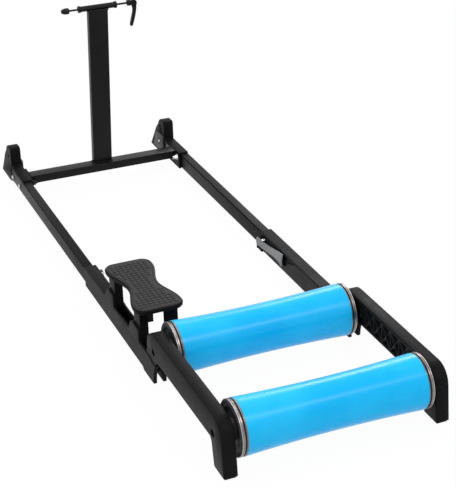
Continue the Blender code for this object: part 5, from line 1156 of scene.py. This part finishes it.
    def tube(self, dresser: Dresser) -> None:
        """Turn the fork tube with a collar at each end."""
        span = Span.of("fork_tube")
        half, _, collar = span.size / 2 / MM
        inner, radius, bore = half - self.collar_mm, self.tube_radius_mm, self.tube_bore_mm
        corners = [(bore, -half), (collar, -half), (collar, -inner), (radius, -inner), (radius, inner),
                   (collar, inner), (collar, half), (bore, half)]
        tube = turned("fork_tube_turned", corners, [0.5, 1.0, 1.0, 0.6, 0.6, 1.0, 1.0, 0.5], span.centre,
                      segments=64)
        dresser.add(tube, Slot.PAINT, "fork_tube")


@dataclass
class Skewer:
    """The quick-release skewer: rod, nut, head, cam and lever."""

    bore_mm: float = 2.8
    cheek: float = 2.2 * MM

    def build(self, dresser: Dresser) -> None:
        """Build the skewer's pieces."""
        self.nut(dresser)
        self.head(dresser)
        dresser.soften("skewer_rod", Slot.PAINT, 0.2 * MM)
        dresser.soften("cam_pin", Slot.ZINC, 0.3 * MM)
        self.lever(dresser)

    def nut(self, dresser: Dresser) -> None:
        """Turn the nut: a fluted cone with rounded ends."""
        span = Span.of("skewer_nut")
        bore, length = self.bore_mm, span.size[0] / MM
        corners = [(bore, 1.5), (6.6, 1.5), (7.8, 4.0), (7.8, 10.5), (6.9, 15.5), (4.6, length),
                   (bore, length)]
        nut = turned("skewer_nut_turned", corners, [0.3, 1.0, 2.2, 4.0, 2.4, 1.6, 0.3], span.end(-1), -1,
                     segments=96, teeth=Teeth(beyond_mm=5.0, depth=0.015, count=12))
        dresser.add(nut, Slot.PAINT, "skewer_nut")

    def lever(self, dresser: Dresser) -> None:
        """Cut the lever: a curved blade, and two cheeks that hold the cam pin beside the rod's eye."""
        span = Span.of("skewer_lever")
        x, _, z = Span.of("cam_pin").centre
        blade = np.array([(-6.6, -7.4), (5.4, -7.4), (5.0, -17.7), (0.8, -36.0), (-4.4, -52.0),
                          (-7.4, -60.3), (-12.8, -60.3), (-12.9, -55.0), (-8.8, -40.0), (-4.2, -23.0),
                          (-4.4, -14.0)]) * MM
        bends = np.array([1.0, 2.0, 9.0, 9.0, 6.0, 2.4, 2.4, 4.0, 9.0, 6.0, 3.0]) * MM
        piece = slab("skewer_lever_blade", rounded(blade + (x, z), bends), span.low[1], span.high[1], Axis.Y,
                     1.6 * MM)
        dresser.add(piece, Slot.PAINT, "skewer_lever")
        cheek = np.array([(-6.6, -8.4), (5.6, -8.4), (6.6, -3.0), (6.6, 2.6), (2.8, 6.5), (-2.8, 6.5),
                          (-6.4, 2.6), (-6.9, -3.0)]) * MM
        plates = [slab_points(rounded(cheek + (x, z), 2.4 * MM), low, low + self.cheek, Axis.Y, 0.5 * MM)
                  for low in (span.low[1], span.high[1] - self.cheek)]
        dresser.add(surface("skewer_lever_cheeks", np.stack(plates), caps=True), Slot.PAINT,
                    beside="skewer_lever")

    def head(self, dresser: Dresser) -> None:
        """Turn the head that the cam draws against the dropout."""
        span = Span.of("skewer_head")
        length, _, across = span.size / MM
        radius, bore = across / 2, self.bore_mm
        corners = [(bore, 0), (radius, 0), (radius, length - 2.2), (radius - 1.6, length), (bore, length)]
        head = turned("skewer_head_turned", corners, 0.7, span.end(1), segments=64)
        dresser.add(head, Slot.PAINT, "skewer_head")


@dataclass
class SideFrames:
    """The two moulded side frames with the rubber pads under their rear feet."""

    edge: float = 0.5 * MM
    lattice_low: tuple[float, float] = (-0.716, 0.060)
    lattice_high: tuple[float, float] = (-0.464, 0.112)

    def lattice(self, place: Vector) -> bool:
        """Return whether a point lies on the beam's lattice of ribs, inside a rectangle in Y and Z."""
        return (self.lattice_low[0] < place.y < self.lattice_high[0]
                and self.lattice_low[1] < place.z < self.lattice_high[1])

    def build(self, dresser: Dresser) -> None:
        """Build both side frames."""
        for name, _ in SIDES:
            dresser.soften("side_frame_" + name, Slot.NYLON, self.edge, self.lattice)
            dresser.add(block("rear_foot_pad_sole_" + name, Span.of("rear_foot_pad_" + name), 0.8 * MM),
                        Slot.RUBBER, "rear_foot_pad_" + name)


# Studio

@dataclass(frozen=True)
class Lamp:
    """A square soft lamp that points at a target."""

    name: str
    place: tuple[float, float, float]
    target: tuple[float, float, float]
    size: float
    power: float

    def hang(self) -> None:
        """Add the lamp to the scene."""
        data = bpy.data.lights.new(self.name, "AREA")
        data.size = self.size
        data.energy = self.power
        lamp = bpy.data.objects.new(self.name, data)
        lamp.location = self.place
        lamp.rotation_euler = (Vector(self.target) - Vector(self.place)).to_track_quat("-Z", "Y").to_euler()
        bpy.context.scene.collection.objects.link(lamp)


@dataclass
class Studio:
    """The pale floor, the soft light and the camera."""

    location: tuple[float, float, float] = (-0.9603, -2.7021, 1.4537)
    yaw: float = 0.3756
    pitch: float = 0.4389
    roll: float = -0.0340
    lens_mm: float = 103.2
    shift: tuple[float, float] = (0.0052, -0.0297)
    sky: float = 0.55
    floor_reach: float = 8.0
    floor_glow: float = 0.97
    lamps: tuple[Lamp, ...] = (
        Lamp("overhead", (-0.6, 0.2, 3.0), (0.0, 0.0, 0.0), 2.4, 48.0),
        Lamp("high_rear", (0.7, -2.3, 2.4), (0.0, -0.4, 0.05), 0.7, 20.0),
        Lamp("rear_left", (-2.6, -1.8, 1.8), (0.0, -0.3, 0.1), 1.2, 9.0),
        Lamp("front_right", (1.9, 2.6, 2.0), (0.1, -0.3, 0.1), 1.2, 34.0))

    def build(self) -> None:
        """Set up the whole studio."""
        self.camera()
        self.world()
        self.floor()
        for lamp in self.lamps:
            lamp.hang()
        bpy.context.scene.view_settings.view_transform = "Standard"

    def camera(self) -> None:
        """Place the camera from its yaw, its downward pitch and its roll, all in radians."""
        forward = Vector((math.sin(self.yaw) * math.cos(self.pitch),
                          math.cos(self.yaw) * math.cos(self.pitch), -math.sin(self.pitch)))
        level = Vector((math.cos(self.yaw), -math.sin(self.yaw), 0.0))
        upright = level.cross(forward)
        right = math.cos(self.roll) * level + math.sin(self.roll) * upright
        up = -math.sin(self.roll) * level + math.cos(self.roll) * upright
        data = bpy.data.cameras.new("camera")
        data.lens = self.lens_mm
        data.sensor_width = 36.0
        data.shift_x, data.shift_y = self.shift
        data.clip_end = 50.0
        camera = bpy.data.objects.new("camera", data)
        turn = Matrix((right, up, -forward)).transposed().to_4x4()
        camera.matrix_world = Matrix.Translation(Vector(self.location)) @ turn
        bpy.context.scene.collection.objects.link(camera)
        bpy.context.scene.camera = camera

    @staticmethod
    def seen(tree: bpy.types.NodeTree) -> bpy.types.NodeSocket:
        """Return one for camera, glossy and transmission rays, and zero for the rest."""
        path = add_node(tree, "ShaderNodeLightPath").outputs
        first = add_node(tree, "ShaderNodeMath", {0: path["Is Camera Ray"], 1: path["Is Glossy Ray"]},
                         operation="MAXIMUM")
        both = add_node(tree, "ShaderNodeMath", {0: first.outputs[0], 1: path["Is Transmission Ray"]},
                        operation="MAXIMUM")
        return both.outputs[0]

    def world(self) -> None:
        """Show a white background and light the object softly."""
        world = bpy.data.worlds.new("studio")
        bpy.context.scene.world = world
        world.use_nodes = True
        tree = world.node_tree
        tree.nodes.clear()
        light, white = (add_node(tree, "ShaderNodeBackground", {"Color": (1, 1, 1, 1), "Strength": strength})
                        for strength in (self.sky, 1.0))
        mix = add_node(tree, "ShaderNodeMixShader", {0: self.seen(tree), 1: light.outputs[0],
                                                     2: white.outputs[0]})
        add_node(tree, "ShaderNodeOutputWorld", {"Surface": mix.outputs[0]})

    def floor(self) -> None:
        """Lay a plain white floor that keeps a faint shadow of the object."""
        mesh = bpy.data.meshes.new("floor")
        corners = rectangle(-self.floor_reach, self.floor_reach, -self.floor_reach, self.floor_reach)
        mesh.from_pydata([(x, y, 0.0) for x, y in corners.tolist()], [], [(0, 1, 2, 3)])
        floor = bpy.data.objects.new("floor", mesh)
        bpy.context.scene.collection.objects.link(floor)
        material = bpy.data.materials.new("white_paper_floor")
        material.use_nodes = True
        tree = material.node_tree
        tree.nodes.clear()
        paper = add_node(tree, "ShaderNodeBsdfDiffuse", {"Color": (0.82, 0.82, 0.82, 1)})
        glow = add_node(tree, "ShaderNodeEmission", {"Color": (1, 1, 1, 1), "Strength": 1.0})
        share = add_node(tree, "ShaderNodeMath", {0: self.seen(tree), 1: self.floor_glow},
                         operation="MULTIPLY")
        mix = add_node(tree, "ShaderNodeMixShader", {0: share.outputs[0], 1: paper.outputs[0],
                                                     2: glow.outputs[0]})
        add_node(tree, "ShaderNodeOutputMaterial", {"Surface": mix.outputs[0]})
        mesh.materials.append(material)


def main() -> None:
    """Load the frame, dress every sub-assembly and light it."""
    logging.basicConfig(level=logging.INFO, format="%(name)s: %(message)s")
    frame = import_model()
    dresser = Dresser(frame)
    assemblies = [SideFrames(), *(Roller(prefix) for prefix in ROLLERS), FrontFrame(),
                  *(Latch(name, side) for name, side in SIDES), Skewer(), Step()]
    for assembly in assemblies:
        LOG.info("building %s", type(assembly).__name__)
        assembly.build(dresser)
    Studio().build()


if __name__ == "__main__":
    main()
